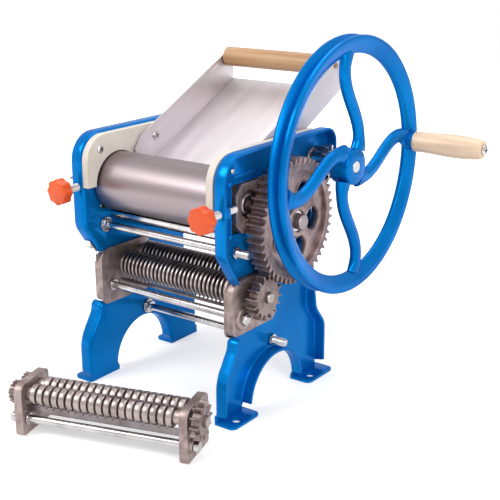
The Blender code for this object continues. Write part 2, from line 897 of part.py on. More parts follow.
def big_gear(parent):
    teeth = gear_outline(
        big_gear_teeth,
        gear_module,
        gear_backlash,
        gear_module * addendum_share,
        gear_module * dedendum_share,
        0.0,
    )
    bore = roller_shaft_end_radius + gap
    end = big_gear_start + big_gear_width
    holes = [circle(bore, round_steps)]
    for number in range(big_gear_holes):
        angle = big_gear_hole_angle + math.tau * number / big_gear_holes
        middle = (big_gear_hole_ring * math.cos(angle), big_gear_hole_ring * math.sin(angle))
        holes.append(circle(big_gear_hole_radius, rod_steps, middle))
    gear = piece("big_gear", prism(teeth, big_gear_start, end, holes=holes), cast, parent)
    groove = washer(end - big_gear_recess, end + overrun, big_gear_hub_radius, big_gear_rim_inner, recess_steps)
    combine(gear, piece("big_gear_recess", groove, cast, parent), "DIFFERENCE")
    back = big_gear_start + big_gear_back_recess
    groove = washer(big_gear_start - overrun, back, big_gear_hub_radius, big_gear_rim_inner, recess_steps)
    combine(gear, piece("big_gear_back_recess", groove, cast, parent), "DIFFERENCE")
    pocket = bar(end - circlip_recess, end + overrun, circlip_radius + gap, round_steps)
    combine(gear, piece("big_gear_circlip_recess", pocket, cast, parent), "DIFFERENCE")
    start = end - circlip_recess + gap
    clip = washer(start, start + circlip_thickness, bore, circlip_radius, round_steps)
    piece("big_gear_circlip", clip, steel, parent)
    return gear


def roller_gears(front_parent, rear_parent):
    module = centre_distance / roller_gear_teeth
    front_phase = math.pi / 2
    rear_phase = mate_phase(front_phase, roller_gear_teeth, roller_gear_teeth, roller_line_angle)
    for name, phase, parent in (
        ("front_roller_gear", front_phase, front_parent),
        ("rear_roller_gear", rear_phase, rear_parent),
    ):
        outline = gear_outline(
            roller_gear_teeth,
            module,
            roller_gear_backlash,
            module * roller_addendum_share,
            module * roller_dedendum_share,
            phase,
        )
        start = -(roller_gear_start + roller_gear_width)
        spur_gear(name, outline, start, roller_gear_width, roller_shaft_radius + gap, cast, parent)


def adjuster(side_name, side, parent):
    # The screw's tip bears on the block; its other end sits in the knob's blind bore.
    tip = -block_front - gap
    middle = (side * screw_out, 0.0)
    bore_end = -knob_front + knob_length - knob_bore_depth
    screw = prism(circle(screw_radius, rod_steps, middle), bore_end + gap, tip, along="Y")
    piece("adjusting_screw_" + side_name, screw, steel, parent)
    outline = []
    lobe_steps = lobe_facets * knob_lobes
    for step in range(lobe_steps):
        angle = math.tau * step / lobe_steps
        radius = knob_radius - knob_lobe * (1 - math.cos(knob_lobes * angle)) / 2
        outline.append((middle[0] + radius * math.cos(angle), radius * math.sin(angle)))
    name = "adjusting_knob_" + side_name
    knob = piece(name, prism(outline, -knob_front, -knob_front + knob_length, along="Y"), orange, parent)
    boss = prism(
        circle(knob_boss_radius, small_steps, middle),
        -knob_front + knob_length / 2,
        -knob_front + knob_length + knob_boss_length,
        along="Y",
    )
    combine(knob, piece(name + "_boss", boss, orange, parent), "UNION")
    bore = prism(
        circle(screw_radius + gap, small_steps, middle),
        bore_end,
        -knob_front + knob_length + knob_boss_length + overrun,
        along="Y",
    )
    combine(knob, piece(name + "_bore", bore, orange, parent), "DIFFERENCE")


# Handwheel drive

def spoke(angle):
    # An S-shaped arm of oval section from the hub to the rim.
    shape = bmesh.new()
    inner = wheel_hub_radius * spoke_start_share
    outer = wheel_radius - wheel_rim_width * spoke_end_share
    stations = []
    for step in range(spoke_stations + 1):
        share = step / spoke_stations
        along = inner + (outer - inner) * share
        across = spoke_sway * math.sin(math.pi * (share * spoke_sway_turns_share + spoke_sway_start_share))
        stations.append(Vector((along, across)))
    rings = []
    for index, here in enumerate(stations):
        before = stations[max(index - 1, 0)]
        after = stations[min(index + 1, spoke_stations)]
        run = (after - before).normalized()
        side = Vector((-run.y, run.x))
        middle_x = wheel_front - spoke_from_front
        ring = []
        for turn_step in range(spoke_sides):
            turn = math.tau * turn_step / spoke_sides
            flat = here + side * (spoke_half_width * math.cos(turn))
            y = flat.x * math.cos(angle) - flat.y * math.sin(angle)
            z = flat.x * math.sin(angle) + flat.y * math.cos(angle)
            ring.append(shape.verts.new((middle_x + spoke_half_depth * math.sin(turn), y, z)))
        rings.append(ring)
    for near, far in zip(rings, rings[1:]):
        for index in range(spoke_sides):
            shape.faces.new((near[index - 1], near[index], far[index], far[index - 1]))
    shape.faces.new(rings[0])
    shape.faces.new(rings[-1])
    return shape


def handwheel(parent):
    back = wheel_front - wheel_rim_depth
    middle = wheel_front - wheel_rim_depth / 2
    inner = wheel_radius - wheel_rim_width
    # The rim is a channel: its front face leans in, and a thin flange runs behind the groove.
    profile = [
        (wheel_front - rim_dish - rim_land, inner),
        (back, wheel_radius - rim_back_flange),
        (back, wheel_radius - rim_edge),
        (back + rim_edge, wheel_radius),
        (middle - groove_width / 2, wheel_radius),
        (middle - groove_floor_width / 2, wheel_radius - groove_depth),
        (middle + groove_floor_width / 2, wheel_radius - groove_depth),
        (middle + groove_width / 2, wheel_radius),
        (wheel_front - rim_edge, wheel_radius),
        (wheel_front, wheel_radius - rim_edge),
        (wheel_front - rim_dish, inner),
    ]
    wheel = piece("handwheel", turned(profile, wheel_steps, ring=True), paint, parent)
    for number in range(wheel_spokes):
        angle = math.tau * number / wheel_spokes
        arm = piece("handwheel_spoke" + str(number), spoke(angle), paint, parent)
        combine(wheel, arm, "UNION")
    hub_start = wheel_front - wheel_hub_length
    hub = piece("handwheel_hub", bar(hub_start, wheel_front, wheel_hub_radius, round_steps), paint, parent)
    combine(wheel, hub, "UNION")
    place = (0.0, handle_y - drive_axis[0], handle_z - drive_axis[1])
    boss = bar(middle, wheel_front + handle_boss_height, handle_boss_radius, small_steps)
    combine(wheel, piece("handwheel_boss", boss, paint, parent, place), "UNION")
    bore = bar(hub_start - overrun, wheel_front + overrun, wheel_shaft_end_radius + gap, small_steps)
    combine(wheel, piece("handwheel_bore", bore, paint, parent), "DIFFERENCE")
    hole = bar(back - overrun, wheel_front + handle_boss_height + overrun, spindle_radius + gap, small_steps)
    combine(wheel, piece("handwheel_handle_hole", hole, paint, parent, place), "DIFFERENCE")

    shaft_profile = [
        (-drive_shaft_left, 0.0),
        (-drive_shaft_left, wheel_shaft_radius),
        (hub_start - gap, wheel_shaft_radius),
        (hub_start - gap, wheel_shaft_end_radius),
        (wheel_front, wheel_shaft_end_radius),
        (wheel_front, 0.0),
    ]
    piece("drive_shaft", turned(shaft_profile, round_steps), steel, parent)

    spindle_profile = [
        (back, 0.0),
        (back, spindle_radius),
        (grip_end + gap, spindle_radius),
        (grip_end + gap, spindle_head_radius),
        (grip_end + gap + spindle_head_length, spindle_head_radius * spindle_head_share),
        (grip_end + gap + spindle_head_length, 0.0),
    ]
    piece("handle_spindle", turned(spindle_profile, small_steps), steel, parent, place)
    return wheel


def handle_grip(parent):
    # A turned wooden grip: thin neck, swelling to its widest towards the middle, and a rounded end.
    profile = []
    for step in range(grip_stations + 1):
        share = step / grip_stations
        swell = math.sin(math.pi * share ** grip_swell_share)
        neck = grip_neck_radius + (grip_end_radius - grip_neck_radius) * share
        profile.append((grip_start + grip_length * share, neck + (grip_radius - grip_neck_radius) * swell))
    bore = spindle_radius + bearing_gap
    profile = [(grip_start, bore)] + profile + [(grip_end, bore)]
    return piece("handle_grip", turned(profile, round_steps, ring=True), wood, parent)


# Dough tray

def tray_floor_point(y):
    start = (tray_floor_front, front_axis[1] + tray_floor_rise)
    return (y, start[1] + (y - start[0]) * math.tan(tray_slope))


def tray(machine):
    up = Vector((-math.sin(tray_slope), math.cos(tray_slope)))
    front = tray_floor_point(tray_floor_front)
    rear = tray_floor_point(tray_rear)
    floor_outline = [
        front,
        rear,
        tuple(Vector(rear) + up * tray_sheet),
        tuple(Vector(front) + up * tray_sheet),
    ]
    half = tray_half_width - tray_sheet / 2
    made = piece("tray", prism(floor_outline, -half, half), tray_steel, machine)
    wall_bottom = -tray_sheet / 2
    rear_low = tray_floor_point(tray_rear + tray_sheet / 2)
    top_front = (tray_wall_top_front, front_axis[1] + tray_wall_top_height)
    top_run = tray_rear - top_front[0]
    wall = rounded([
        (tray_floor_front - tray_sheet / 2, front[1] + wall_bottom, 0.0),
        (rear_low[0], rear_low[1] + wall_bottom, 0.0),
        (tray_rear + tray_sheet / 2, top_front[1] + top_run * math.tan(tray_slope), tray_round),
        (*top_front, tray_round),
        (tray_wall_front, front_axis[1] + tray_wall_front_height, small_round),
    ])
    stick_y, stick_z = stick_place()
    pin_hole = circle(stick_pin_radius + gap, small_steps, (stick_y, stick_z))
    for side in (-1, 1):
        ends = sorted((side * (tray_half_width - tray_sheet), side * tray_half_width))
        sheet_wall = piece("tray_wall" + str(side), prism(wall, *ends, holes=(pin_hole,)), tray_steel, machine)
        combine(made, sheet_wall, "UNION")
    return made


def stick_place():
    top = front_axis[1] + tray_wall_top_height + (tray_rear - tray_wall_top_front) * math.tan(tray_slope)
    return (tray_rear - stick_from_rear, top - stick_from_top)


def rolling_pin(parent):
    body = tray_half_width - tray_sheet - stick_end_gap
    end = tray_half_width + stick_end_gap
    profile = [
        (-end, 0.0),
        (-end, stick_pin_radius),
        (-body, stick_pin_radius),
        (-body, stick_radius),
        (body, stick_radius),
        (body, stick_pin_radius),
        (end, stick_pin_radius),
        (end, 0.0),
    ]
    return piece("rolling_pin", turned(profile, round_steps), wood, parent)


# Noodle cutters

def plate_corners(front, back, low, high, lip):
    return [
        (-front, -low - lip, plate_round),
        (back + lip, -low - lip, plate_round),
        (back + lip, high + lip, plate_round),
        (-front, high + lip, plate_top_front_round),
    ]


def ring_profile(rings, offset, ring, groove):
    # Rings at an even pitch, shifted by offset, between two plain shaft ends.
    pitch = ring_zone / rings
    width = pitch * ring_width_share
    profile = []
    for number in range(rings):
        middle = -ring_zone / 2 + pitch * (number + offset)
        profile += [
            (middle - pitch / 2, groove),
            (middle - width / 2, ring),
            (middle + width / 2, ring),
        ]
    last = -ring_zone / 2 + pitch * (rings - 1 + offset)
    return profile + [(last + pitch / 2, groove)]


def ring_roller(name, rings, offset, radii, ends, parent):
    body = plate_inner - gap
    ring, groove = radii
    left_end, right_end = ends
    profile = [
        (left_end, 0.0),
        (left_end, cutter_shaft_radius),
        (-body, cutter_shaft_radius),
        (-body, groove),
        *ring_profile(rings, offset, ring, groove),
        (body, groove),
        (body, cutter_shaft_radius),
        (right_end, cutter_shaft_radius),
        (right_end, 0.0),
    ]
    return piece(name, turned(profile, ring_steps), satin, parent)


def comb(name, rings, offset, toward, reach, drop, back, parent):
    # A steel strip whose pointed fingers reach up between the rings into their grooves.
    pitch = ring_zone / rings
    half = plate_inner - gap
    near_axis = back - comb_thickness / 2
    top = drop - math.sqrt(reach ** 2 - near_axis ** 2)
    outline = [(-half, -comb_bar_height), (half, -comb_bar_height), (half, 0.0)]
    for number in reversed(range(rings - 1)):
        middle = -ring_zone / 2 + pitch * (number + offset + 0.5)
        outline += [(middle + pitch / 2, 0.0), (middle, top)]
    outline.append((-ring_zone / 2 + pitch * offset, 0.0))
    outline.append((-half, 0.0))
    shape = bmesh.new()
    near = [shape.verts.new((x, -comb_thickness / 2, z)) for x, z in outline]
    face = shape.faces.new(near)
    swept = bmesh.ops.extrude_face_region(shape, geom=[face])
    moved = [item for item in swept["geom"] if isinstance(item, bmesh.types.BMVert)]
    bmesh.ops.translate(shape, verts=moved, vec=(0.0, comb_thickness, 0.0))
    bmesh.ops.translate(shape, verts=shape.verts, vec=(0.0, -toward * back, -drop))
    return piece(name, shape, steel, parent)


def cutter(prefix, rings, gear_teeth, drive_phase, plate, rollers, stand, front_pivot, rear_pivot, slotted):
    front, back, low, high, outer, rod_back, rod_rise = plate
    ring_radius, groove_radius, centres, tilt, finger_gap, comb_drop, comb_back = rollers
    rear_place = (centres * math.cos(tilt), centres * math.sin(tilt))
    rod_place = (-front + rod_back, -low + rod_rise)
    rod_bore = circle(cutter_rod_radius + gap, rod_steps, rod_place)
    lip = plate_lip if slotted else 0.0
    sync_start = outer + plate_boss_height + gear_from_boss
    gear_start = cutter_gear_start if slotted else sync_start
    gear_width = cutter_gear_width if slotted else spare_gear_width
    nut_corner = fitted_rod_nut_radius if slotted else spare_rod_nut_radius
    boss_radius = fitted_boss_radius if slotted else spare_boss_radius
    bores = (
        circle(cutter_shaft_radius + bearing_gap, small_steps),
        circle(cutter_shaft_radius + bearing_gap, small_steps, rear_place),
        rod_bore,
    )
    for side, side_name in ((-1, "left"), (1, "right")):
        outline = rounded(plate_corners(front, back, low, high, lip))
        ends = sorted((side * plate_inner, side * outer))
        cheek = piece(prefix + "_plate_" + side_name, prism(outline, *ends, holes=bores), cast, stand)
        boss_ends = sorted((side * (outer - plate_lip), side * (outer + plate_boss_height)))
        boss_shape = prism(circle(boss_radius, round_steps, rod_place), *boss_ends, holes=(rod_bore,))
        boss = piece(prefix + "_plate_boss_" + side_name, boss_shape, cast, stand)
        combine(cheek, boss, "UNION")
        if slotted:
            wide = overrun + lip
            slot = [
                (-front - overrun, -low - wide),
                (back + wide, -low - wide),
                (back + wide, high + wide),
                (-front - overrun, high + wide),
                (-front - overrun, high),
                *slot_inner(front, back, low, high),
                (-front - overrun, -low),
            ]
            beyond = outer + plate_boss_height + overrun
            web = sorted((side * (frame_inner - gap), side * beyond))
            groove = piece(prefix + "_groove_" + side_name, prism(slot, *web), cast, stand)
            combine(cheek, groove, "DIFFERENCE")

    # The nuts lie between the plates' bosses and the gears
    nut_start = outer + plate_boss_height + gap
    rod_end = cutter_gear_start - gap - cutter_rod_end
    place = (0.0, *rod_place)
    rod = piece(
        prefix + "_tie_rod",
        bar(-rod_end - cutter_rod_end, rod_end + cutter_rod_end, cutter_rod_radius, rod_steps),
        steel,
        stand,
        place,
    )
    for side in (-1, 1):
        ends = sorted((side * nut_start, side * rod_end))
        nut = prism(circle(nut_corner, hex_sides), *ends)
        combine(rod, piece(prefix + "_rod_nut" + str(side), nut, steel, stand, place), "UNION")

    reach = groove_radius + finger_gap
    comb(prefix + "_comb_front", rings, front_ring_share, 1, reach, comb_drop, comb_back, stand)
    rear_stand = pivot(prefix + "_rear_comb_place", (0.0, *rear_place), stand)
    comb(prefix + "_comb_rear", rings, rear_ring_share, -1, reach, comb_drop, comb_back, rear_stand)

    left_end = -(sync_start + sync_gear_width + cutter_shaft_proud)
    shaft_end = gear_start + gear_width + cutter_shaft_proud
    radii = (ring_radius, groove_radius)
    front_ends = (left_end, shaft_end)
    rear_ends = (left_end, outer - gap)
    ring_roller(prefix + "_front_roller", rings, front_ring_share, radii, front_ends, front_pivot)
    ring_roller(prefix + "_rear_roller", rings, rear_ring_share, radii, rear_ends, rear_pivot)

    outline = gear_outline(
        gear_teeth,
        gear_module,
        gear_backlash,
        gear_module * addendum_share,
        gear_module * dedendum_share,
        drive_phase,
    )
    boss = (outer + plate_boss_height, cutter_gear_boss_radius)
    bore = cutter_shaft_radius + gap
    spur_gear(
        prefix + "_drive_gear", outline, gear_start, gear_width, bore, cast, front_pivot, boss
    )
    sync_module = centres / sync_gear_teeth
    sync_phase = drive_phase
    rear_phase = mate_phase(sync_phase, sync_gear_teeth, sync_gear_teeth, tilt)
    for name, phase, parent in (
        ("_sync_gear_front", sync_phase, front_pivot),
        ("_sync_gear_rear", rear_phase, rear_pivot),
    ):
        outline = gear_outline(
            sync_gear_teeth,
            sync_module,
            gear_backlash,
            sync_module * addendum_share,
            sync_module * dedendum_share,
            phase,
        )
        start = -(sync_start + sync_gear_width)
        spur_gear(prefix + name, outline, start, sync_gear_width, bore, cast, parent)


def slot_inner(front, back, low, high):
    # The slot's inner edge, from the top front round the back to the bottom front.
    corners = [
        (-front - overrun, high, 0.0),
        (back, high, small_round),
        (back, -low, small_round),
        (-front - overrun, -low, 0.0),
    ]
    points = []
    for index in (1, 2):
        points += corner_arc(corners[index - 1], corners[index], corners[index + 1])
    return points


# The latch that holds the fitted cutter in its notch

def latch(side_name, side, machine):
    # A bent strip under a screw on the flange at the head's lower tip; it hangs before the plate.
    tip = Vector((-tip_front, notch_high))
    along = (Vector((-head_front, head_low_front)) - tip).normalized()
    out = Vector((-along.y, along.x))
    if out.x > 0:
        out = -out
    front = cutter_axis[0] - fitted_plate_front - gap
    bend = tip + along * ((front + tip_front) / along.x)
    screw_point = bend + along * latch_up / 2
    inner = bend + out * gap
    outline = [
        inner + along * latch_up,
        inner,
        inner - Vector((0.0, latch_down)),
        inner - Vector((latch_sheet, latch_down)),
        inner + out * latch_sheet + Vector((0.0, -latch_sheet / 2)),
        inner + along * latch_up + out * latch_sheet,
    ]
    middle = side * (frame_outer + gap + latch_width / 2 + screw_head_room)
    place = (middle, *screw_point)
    turner = pivot("latch_" + side_name + "_axis", place, machine)
    local = [tuple(point - screw_point) for point in outline]
    name = "cutter_latch_" + side_name
    strip = piece(name, prism(local, -latch_width / 2, latch_width / 2), chrome, turner, smooth=False)
    aim = Vector((1.0, 0.0, 0.0)).rotation_difference(Vector((0.0, *out))).to_matrix()
    hole = bar(-overrun, overrun, latch_screw_radius + gap, rod_steps)
    bmesh.ops.rotate(hole, verts=hole.verts, matrix=aim)
    combine(strip, piece(name + "_hole", hole, chrome, turner), "DIFFERENCE")
    under_head = gap + latch_sheet + gap
    profile = [
        (gap, 0.0),
        (gap, latch_screw_radius),
        (under_head, latch_screw_radius),
        (under_head, latch_head_radius),
        (under_head + latch_head_height, latch_head_radius * spindle_head_share),
        (under_head + latch_head_height, 0.0),
    ]
    screw = turned(profile, rod_steps)
    bmesh.ops.rotate(screw, verts=screw.verts, matrix=aim)
    piece("latch_screw_" + side_name, screw, chrome, machine, place)


clear_scene()
paint = material("blue_paint", (0.0, 0.15, 0.6), 0.3, 0.0)
cream = material("cream_plastic", (0.83, 0.76, 0.66), 0.45, 0.0)
steel = material("bright_steel", (0.62, 0.6, 0.6), 0.25, 1.0)
satin = material("satin_steel", (0.45, 0.41, 0.42), 0.38, 1.0)
tray_steel = material("tray_steel", (0.6, 0.59, 0.6), 0.35, 1.0)
cast = material("cast_metal", (0.22, 0.17, 0.16), 0.5, 0.9)
chrome = material("chrome", (0.8, 0.8, 0.8), 0.12, 1.0)
orange = material("orange_plastic", (0.85, 0.12, 0.03), 0.4, 0.0)
wood = material("beech", (0.68, 0.42, 0.22), 0.55, 0.0)

machine = pivot("machine", (-box_middle_x, -box_middle_y, 0.0))
carriage = pivot("carriage_slide", (0.0, *front_axis), machine)
rear_spin = pivot("rear_roller_axis", (0.0, *rear_axis), machine)
wheel_spin = pivot("handwheel_axis", (0.0, *drive_axis), machine)
grip_spin = pivot("grip_axis", (0.0, handle_y, handle_z), machine)
stick_spin = pivot("rolling_pin_axis", (0.0, *stick_place()), machine)

for side, side_name in ((-1, "left"), (1, "right")):
    side_frame("side_frame_" + side_name, side, machine)
    liner("liner_" + side_name, side, machine)
    bearing(
        "rear_bearing_" + side_name,
        side,
        rear_axis,
        bearing_flange_radius,
        bearing_sleeve_radius,
        roller_shaft_radius + bearing_gap,
        machine,
    )
    bearing(
        "shaft_bearing_" + side_name,
        side,
        drive_axis,
        shaft_bearing_flange_radius,
        shaft_bearing_sleeve_radius,
        wheel_shaft_radius + bearing_gap,
        machine,
    )
    front_block("front_bearing_" + side_name, side, carriage)
    adjuster(side_name, side, carriage)

latch("left", -1, machine)
tie_rod("front_tie_rod", front_rod_y, front_rod_z, machine, rod_stub)
tie_rod("lower_tie_rod", lower_rod_y, lower_rod_z, machine, rod_stub)
scraper("front_scraper", front_axis, 1, machine)
scraper("rear_scraper", rear_axis, -1, machine)
tray(machine)
rolling_pin(stick_spin)

roller_left = -(roller_gear_start + roller_gear_width + roller_gear_shaft_proud)
roller("front_roller", roller_left, roller_shaft_radius, block_outer - gap, roller_shaft_radius, carriage)
rear_right = big_gear_start + big_gear_width + rear_shaft_proud
roller("rear_roller", roller_left, roller_shaft_radius, rear_right, roller_shaft_end_radius, rear_spin)
big_gear(rear_spin)
roller_gears(carriage, rear_spin)

pinion_phase = mate_phase(0.0, big_gear_teeth, pinion_teeth, drive_line_angle)
pinion_outline = gear_outline(
    pinion_teeth,
    gear_module,
    gear_backlash,
    gear_module * addendum_share,
    gear_module * dedendum_share,
    pinion_phase,
)
spur_gear(
    "drive_pinion",
    pinion_outline,
    big_gear_start,
    pinion_width,
    wheel_shaft_radius + gap,
    steel,
    wheel_spin,
)
handwheel(wheel_spin)
handle_grip(grip_spin)

cutter_stand = pivot("cutter_stand", (0.0, *cutter_axis), machine)
cutter_front = pivot("cutter_front_axis", (0.0, 0.0, 0.0), cutter_stand)
rear_offset = (0.0, fitted_centres * math.cos(fitted_tilt), fitted_centres * math.sin(fitted_tilt))
cutter_rear = pivot("cutter_rear_axis", rear_offset, cutter_stand)
cutter(
    "cutter",
    fitted_rings,
    cutter_gear_teeth,
    mate_phase(0.0, big_gear_teeth, cutter_gear_teeth, cutter_line_angle),
    (
        fitted_plate_front,
        fitted_plate_back,
        fitted_plate_low,
        fitted_plate_high,
        plate_outer,
        fitted_rod_back,
        fitted_rod_rise,
    ),
    (
        fitted_ring_radius,
        fitted_groove_radius,
        fitted_centres,
        fitted_tilt,
        fitted_finger_gap,
        fitted_comb_drop,
        fitted_comb_back,
    ),
    cutter_stand,
    cutter_front,
    cutter_rear,
    True,
)

spare_place = (
    spare_middle_x - spare_plate_front * math.sin(spare_turn),
    spare_middle_y + spare_plate_front * math.cos(spare_turn),
    spare_plate_low,
)
spare_stand = pivot("spare_stand", spare_place, machine, spare_turn)
spare_front = pivot("spare_front_axis", (0.0, 0.0, 0.0), spare_stand)
rear_offset = (0.0, spare_centres * math.cos(spare_tilt), spare_centres * math.sin(spare_tilt))
spare_rear = pivot("spare_rear_axis", rear_offset, spare_stand)
cutter(
    "spare",
    spare_rings,
    spare_gear_teeth,
    0.0,
    (
        spare_plate_front,
        spare_plate_back,
        spare_plate_low,
        spare_plate_high,
        spare_plate_outer,
        spare_rod_back,
        spare_rod_rise,
    ),
    (
        spare_ring_radius,
        spare_groove_radius,
        spare_centres,
        spare_tilt,
        spare_finger_gap,
        spare_comb_drop,
        spare_comb_back,
    ),
    spare_stand,
    spare_front,
    spare_rear,
    False,
)
bpy.context.view_layer.update()
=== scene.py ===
import math

import bmesh
import bpy
from mathutils import Matrix, Vector


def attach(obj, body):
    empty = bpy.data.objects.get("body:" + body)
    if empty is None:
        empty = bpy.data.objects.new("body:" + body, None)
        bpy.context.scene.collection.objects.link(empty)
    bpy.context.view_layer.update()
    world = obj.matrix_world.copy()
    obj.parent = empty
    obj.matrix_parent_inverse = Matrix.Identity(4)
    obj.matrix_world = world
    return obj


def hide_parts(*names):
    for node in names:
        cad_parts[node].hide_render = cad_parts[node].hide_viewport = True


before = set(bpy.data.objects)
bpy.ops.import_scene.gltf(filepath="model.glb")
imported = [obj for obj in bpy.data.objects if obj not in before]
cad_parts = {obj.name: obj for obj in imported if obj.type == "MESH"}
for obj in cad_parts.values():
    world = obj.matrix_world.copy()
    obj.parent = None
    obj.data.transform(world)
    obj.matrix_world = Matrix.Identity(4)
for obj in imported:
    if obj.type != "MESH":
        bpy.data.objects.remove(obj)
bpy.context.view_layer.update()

# Sizes are millimetres in the machine's own frame: X from its middle towards the handwheel,
# Y back from the front roller's axis, Z up from the bench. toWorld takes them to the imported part.
machineOrigin = Vector((-0.0613, -0.04017755, 0))
toWorld = Matrix.Translation(machineOrigin) @ Matrix.Diagonal((0.001, 0.001, 0.001, 1))
alongX = Matrix.Rotation(math.pi / 2, 4, "Y")
faceFront = Matrix.Rotation(math.pi / 2, 4, "Z")
mirrorX = Matrix.Diagonal((-1, 1, 1, 1))
sides = ((1, "right"), (-1, "left"))

axes = {  # (y, z) of each shaft
    "front": (0.0, 241.3),
    "rear": (64.6955, 210.857),
    "drive": (133.2526, 264.419),
    "grip": (268.0415, 271.955),
    "pin": (205.0, 365.481),
    "frontRod": (-17.5, 190.4),
    "lowerRod": (51.0, 67.0),
}


def shift(y, z, x=0.0):
    return Matrix.Translation((x, y, z))


slotOf = {}  # the CAD's material slot that each finish stands for


def setInputs(node, **values):
    # An underscore stands for a space in an input's name
    for label, value in values.items():
        node.inputs[label.replace("_", " ")].default_value = value
    return node


def nodesOf(name, colour, roughness, metallic):
    made = bpy.data.materials.new(name)
    made.use_nodes = True
    nodes = made.node_tree.nodes
    shader = setInputs(nodes["Principled BSDF"], Base_Color=(*colour, 1), Roughness=roughness, Metallic=metallic)
    return made, nodes, made.node_tree.links, shader


def noiseOf(nodes, links, scale, detail, stretch):
    where = nodes.new("ShaderNodeTexCoord")
    mapping = setInputs(nodes.new("ShaderNodeMapping"), Scale=stretch)
    noise = setInputs(nodes.new("ShaderNodeTexNoise"), Scale=scale, Detail=detail)
    links.new(where.outputs["Object"], mapping.inputs["Vector"])
    links.new(mapping.outputs["Vector"], noise.inputs["Vector"])
    return noise.outputs["Fac"]


def surface(name, slot, dark, light, rough, metallic, grains, spread, wear, bump, stretch=(1, 1, 1), **extra):
    # grains holds the scale and detail of three noises: behind the tone, the roughness and the bump
    made, nodes, links, shader = nodesOf(name, light, rough, metallic)
    noises = {grain: noiseOf(nodes, links, *grain, stretch) for grain in dict.fromkeys(grains)}
    tone, worn, dented = (noises[grain] for grain in grains)
    ramp = nodes.new("ShaderNodeValToRGB")
    for stop, place, colour in zip(ramp.color_ramp.elements, spread, (dark, light)):
        stop.position = place
        stop.color = (*colour, 1)
    links.new(tone, ramp.inputs["Fac"])
    links.new(ramp.outputs["Color"], shader.inputs["Base Color"])
    rub = setInputs(nodes.new("ShaderNodeMapRange"), To_Min=wear[0], To_Max=wear[1])
    links.new(worn, rub.inputs["Value"])
    links.new(rub.outputs["Result"], shader.inputs["Roughness"])
    dent = setInputs(nodes.new("ShaderNodeBump"), Strength=bump[0], Distance=bump[1])
    links.new(dented, dent.inputs["Height"])
    links.new(dent.outputs["Normal"], shader.inputs["Normal"])
    setInputs(shader, **extra)
    slotOf[name] = slot
    return made


def castFinish(name, dark, light, grain=420):
    return surface(name, "cast_metal", dark, light, 0.45, 0.85, ((90, 6), (160, 5), (grain, 3)),
                   (0.35, 0.65), (0.34, 0.6), (0.3, 0.0004))


def turnedFinish(name, slot, dark, light, rough, stretch, scale=60):
    return surface(name, slot, dark, light, rough, 1.0, ((scale, 5),) * 3,
                   (0.3, 0.7), (rough * 0.8, rough * 1.25), (0.08, 0.0003), stretch)


def plasticFinish(name, slot, dark, light, rough, sheen=0.0):
    return surface(name, slot, dark, light, rough, 0.0, ((25, 3), (120, 3), (500, 2)),
                   (0.35, 0.65), (rough * 0.85, rough * 1.2), (0.06, 0.0003), Specular_IOR_Level=0.3,
                   Subsurface_Weight=0.05, Subsurface_Radius=(0.004, 0.002, 0.001), Coat_Weight=sheen)


def woodFinish(name, dark, light):
    return surface(name, "beech", dark, light, 0.42, 0.0, ((130, 6),) * 3,
                   (0.32, 0.68), (0.34, 0.5), (0.12, 0.0003), (0.06, 1, 1), Coat_Weight=0.15)


bluePaint = surface("bluePaint", "blue_paint", (0.0, 0.13, 0.42), (0.002, 0.2, 0.58), 0.3, 0.4,
                    ((14, 2), (60, 4), (260, 2)), (0.3, 0.7), (0.16, 0.28), (0.12, 0.0004),
                    Specular_IOR_Level=0.12, Specular_Tint=(0.1, 0.5, 1.0, 1))
castGrey = castFinish("castGrey", (0.24, 0.18, 0.17), (0.41, 0.325, 0.31))
gearGrey = castFinish("gearGrey", (0.28, 0.2, 0.19), (0.47, 0.355, 0.335), 700)
# gearGrey's cast finish made darker for the cutters' small gears: painted shade
shadedGearGrey = castFinish("shadedGearGrey", (0.17, 0.125, 0.118), (0.3, 0.232, 0.22), 700)
rollerSteel = turnedFinish("rollerSteel", "satin_steel", (0.25, 0.205, 0.215), (0.36, 0.305, 0.32), 0.36, (0.05, 1, 1))
ringSteel = turnedFinish("ringSteel", "satin_steel", (0.3, 0.25, 0.24), (0.46, 0.41, 0.4), 0.3, (1, 0.3, 0.3))
paleRings = turnedFinish("paleRings", "satin_steel", (0.28, 0.225, 0.21), (0.44, 0.375, 0.36), 0.34, (1, 0.3, 0.3))
# Bright steel toned dark for the combs: a painted dark reflection of the shade beneath the rings
combShadeSteel = turnedFinish("combShadeSteel", "bright_steel", (0.16, 0.135, 0.14), (0.26, 0.23, 0.235), 0.3, (1, 0.2, 0.2))
brightSteel = turnedFinish("brightSteel", "bright_steel", (0.42, 0.395, 0.4), (0.6, 0.575, 0.58), 0.2, (1, 0.2, 0.2))
traySheet = turnedFinish("traySheet", "tray_steel", (0.62, 0.575, 0.595), (0.7, 0.655, 0.675), 0.5, (1, 0.08, 0.08), 90)
chromePlate = turnedFinish("chromePlate", "chrome", (0.6, 0.59, 0.59), (0.75, 0.74, 0.74), 0.14, (1, 1, 1))
creamPlastic = plasticFinish("creamPlastic", "cream_plastic", (0.66, 0.6, 0.53), (0.74, 0.68, 0.61), 0.45)
orangePlastic = plasticFinish("orangePlastic", "orange_plastic", (0.68, 0.072, 0.009), (0.8, 0.105, 0.014), 0.3, 0.15)
paleWood = woodFinish("paleWood", (0.72, 0.5, 0.33), (0.87, 0.65, 0.46))
barWood = woodFinish("barWood", (0.37, 0.19, 0.085), (0.55, 0.33, 0.17))
# Near-black finish for thin pieces laid in slots, gaps and hollows: painted shade
paintedShadeFinish = surface("paintedShadeFinish", "bright_steel", (0.02, 0.017, 0.016), (0.02, 0.017, 0.016), 0.6, 0.3,
                     ((200, 3),) * 3, (0, 1), (0.5, 0.8), (0, 0.0003))
print("materials made")


def box(y, z, farY, farZ, radius=0):
    return [(y, z, radius), (farY, z, radius), (farY, farZ, radius), (y, farZ, radius)]


def vertsIn(items):
    return [item for item in items if isinstance(item, bmesh.types.BMVert)]


def facedOut(bm):
    bmesh.ops.recalc_face_normals(bm, faces=bm.faces[:])
    return bm


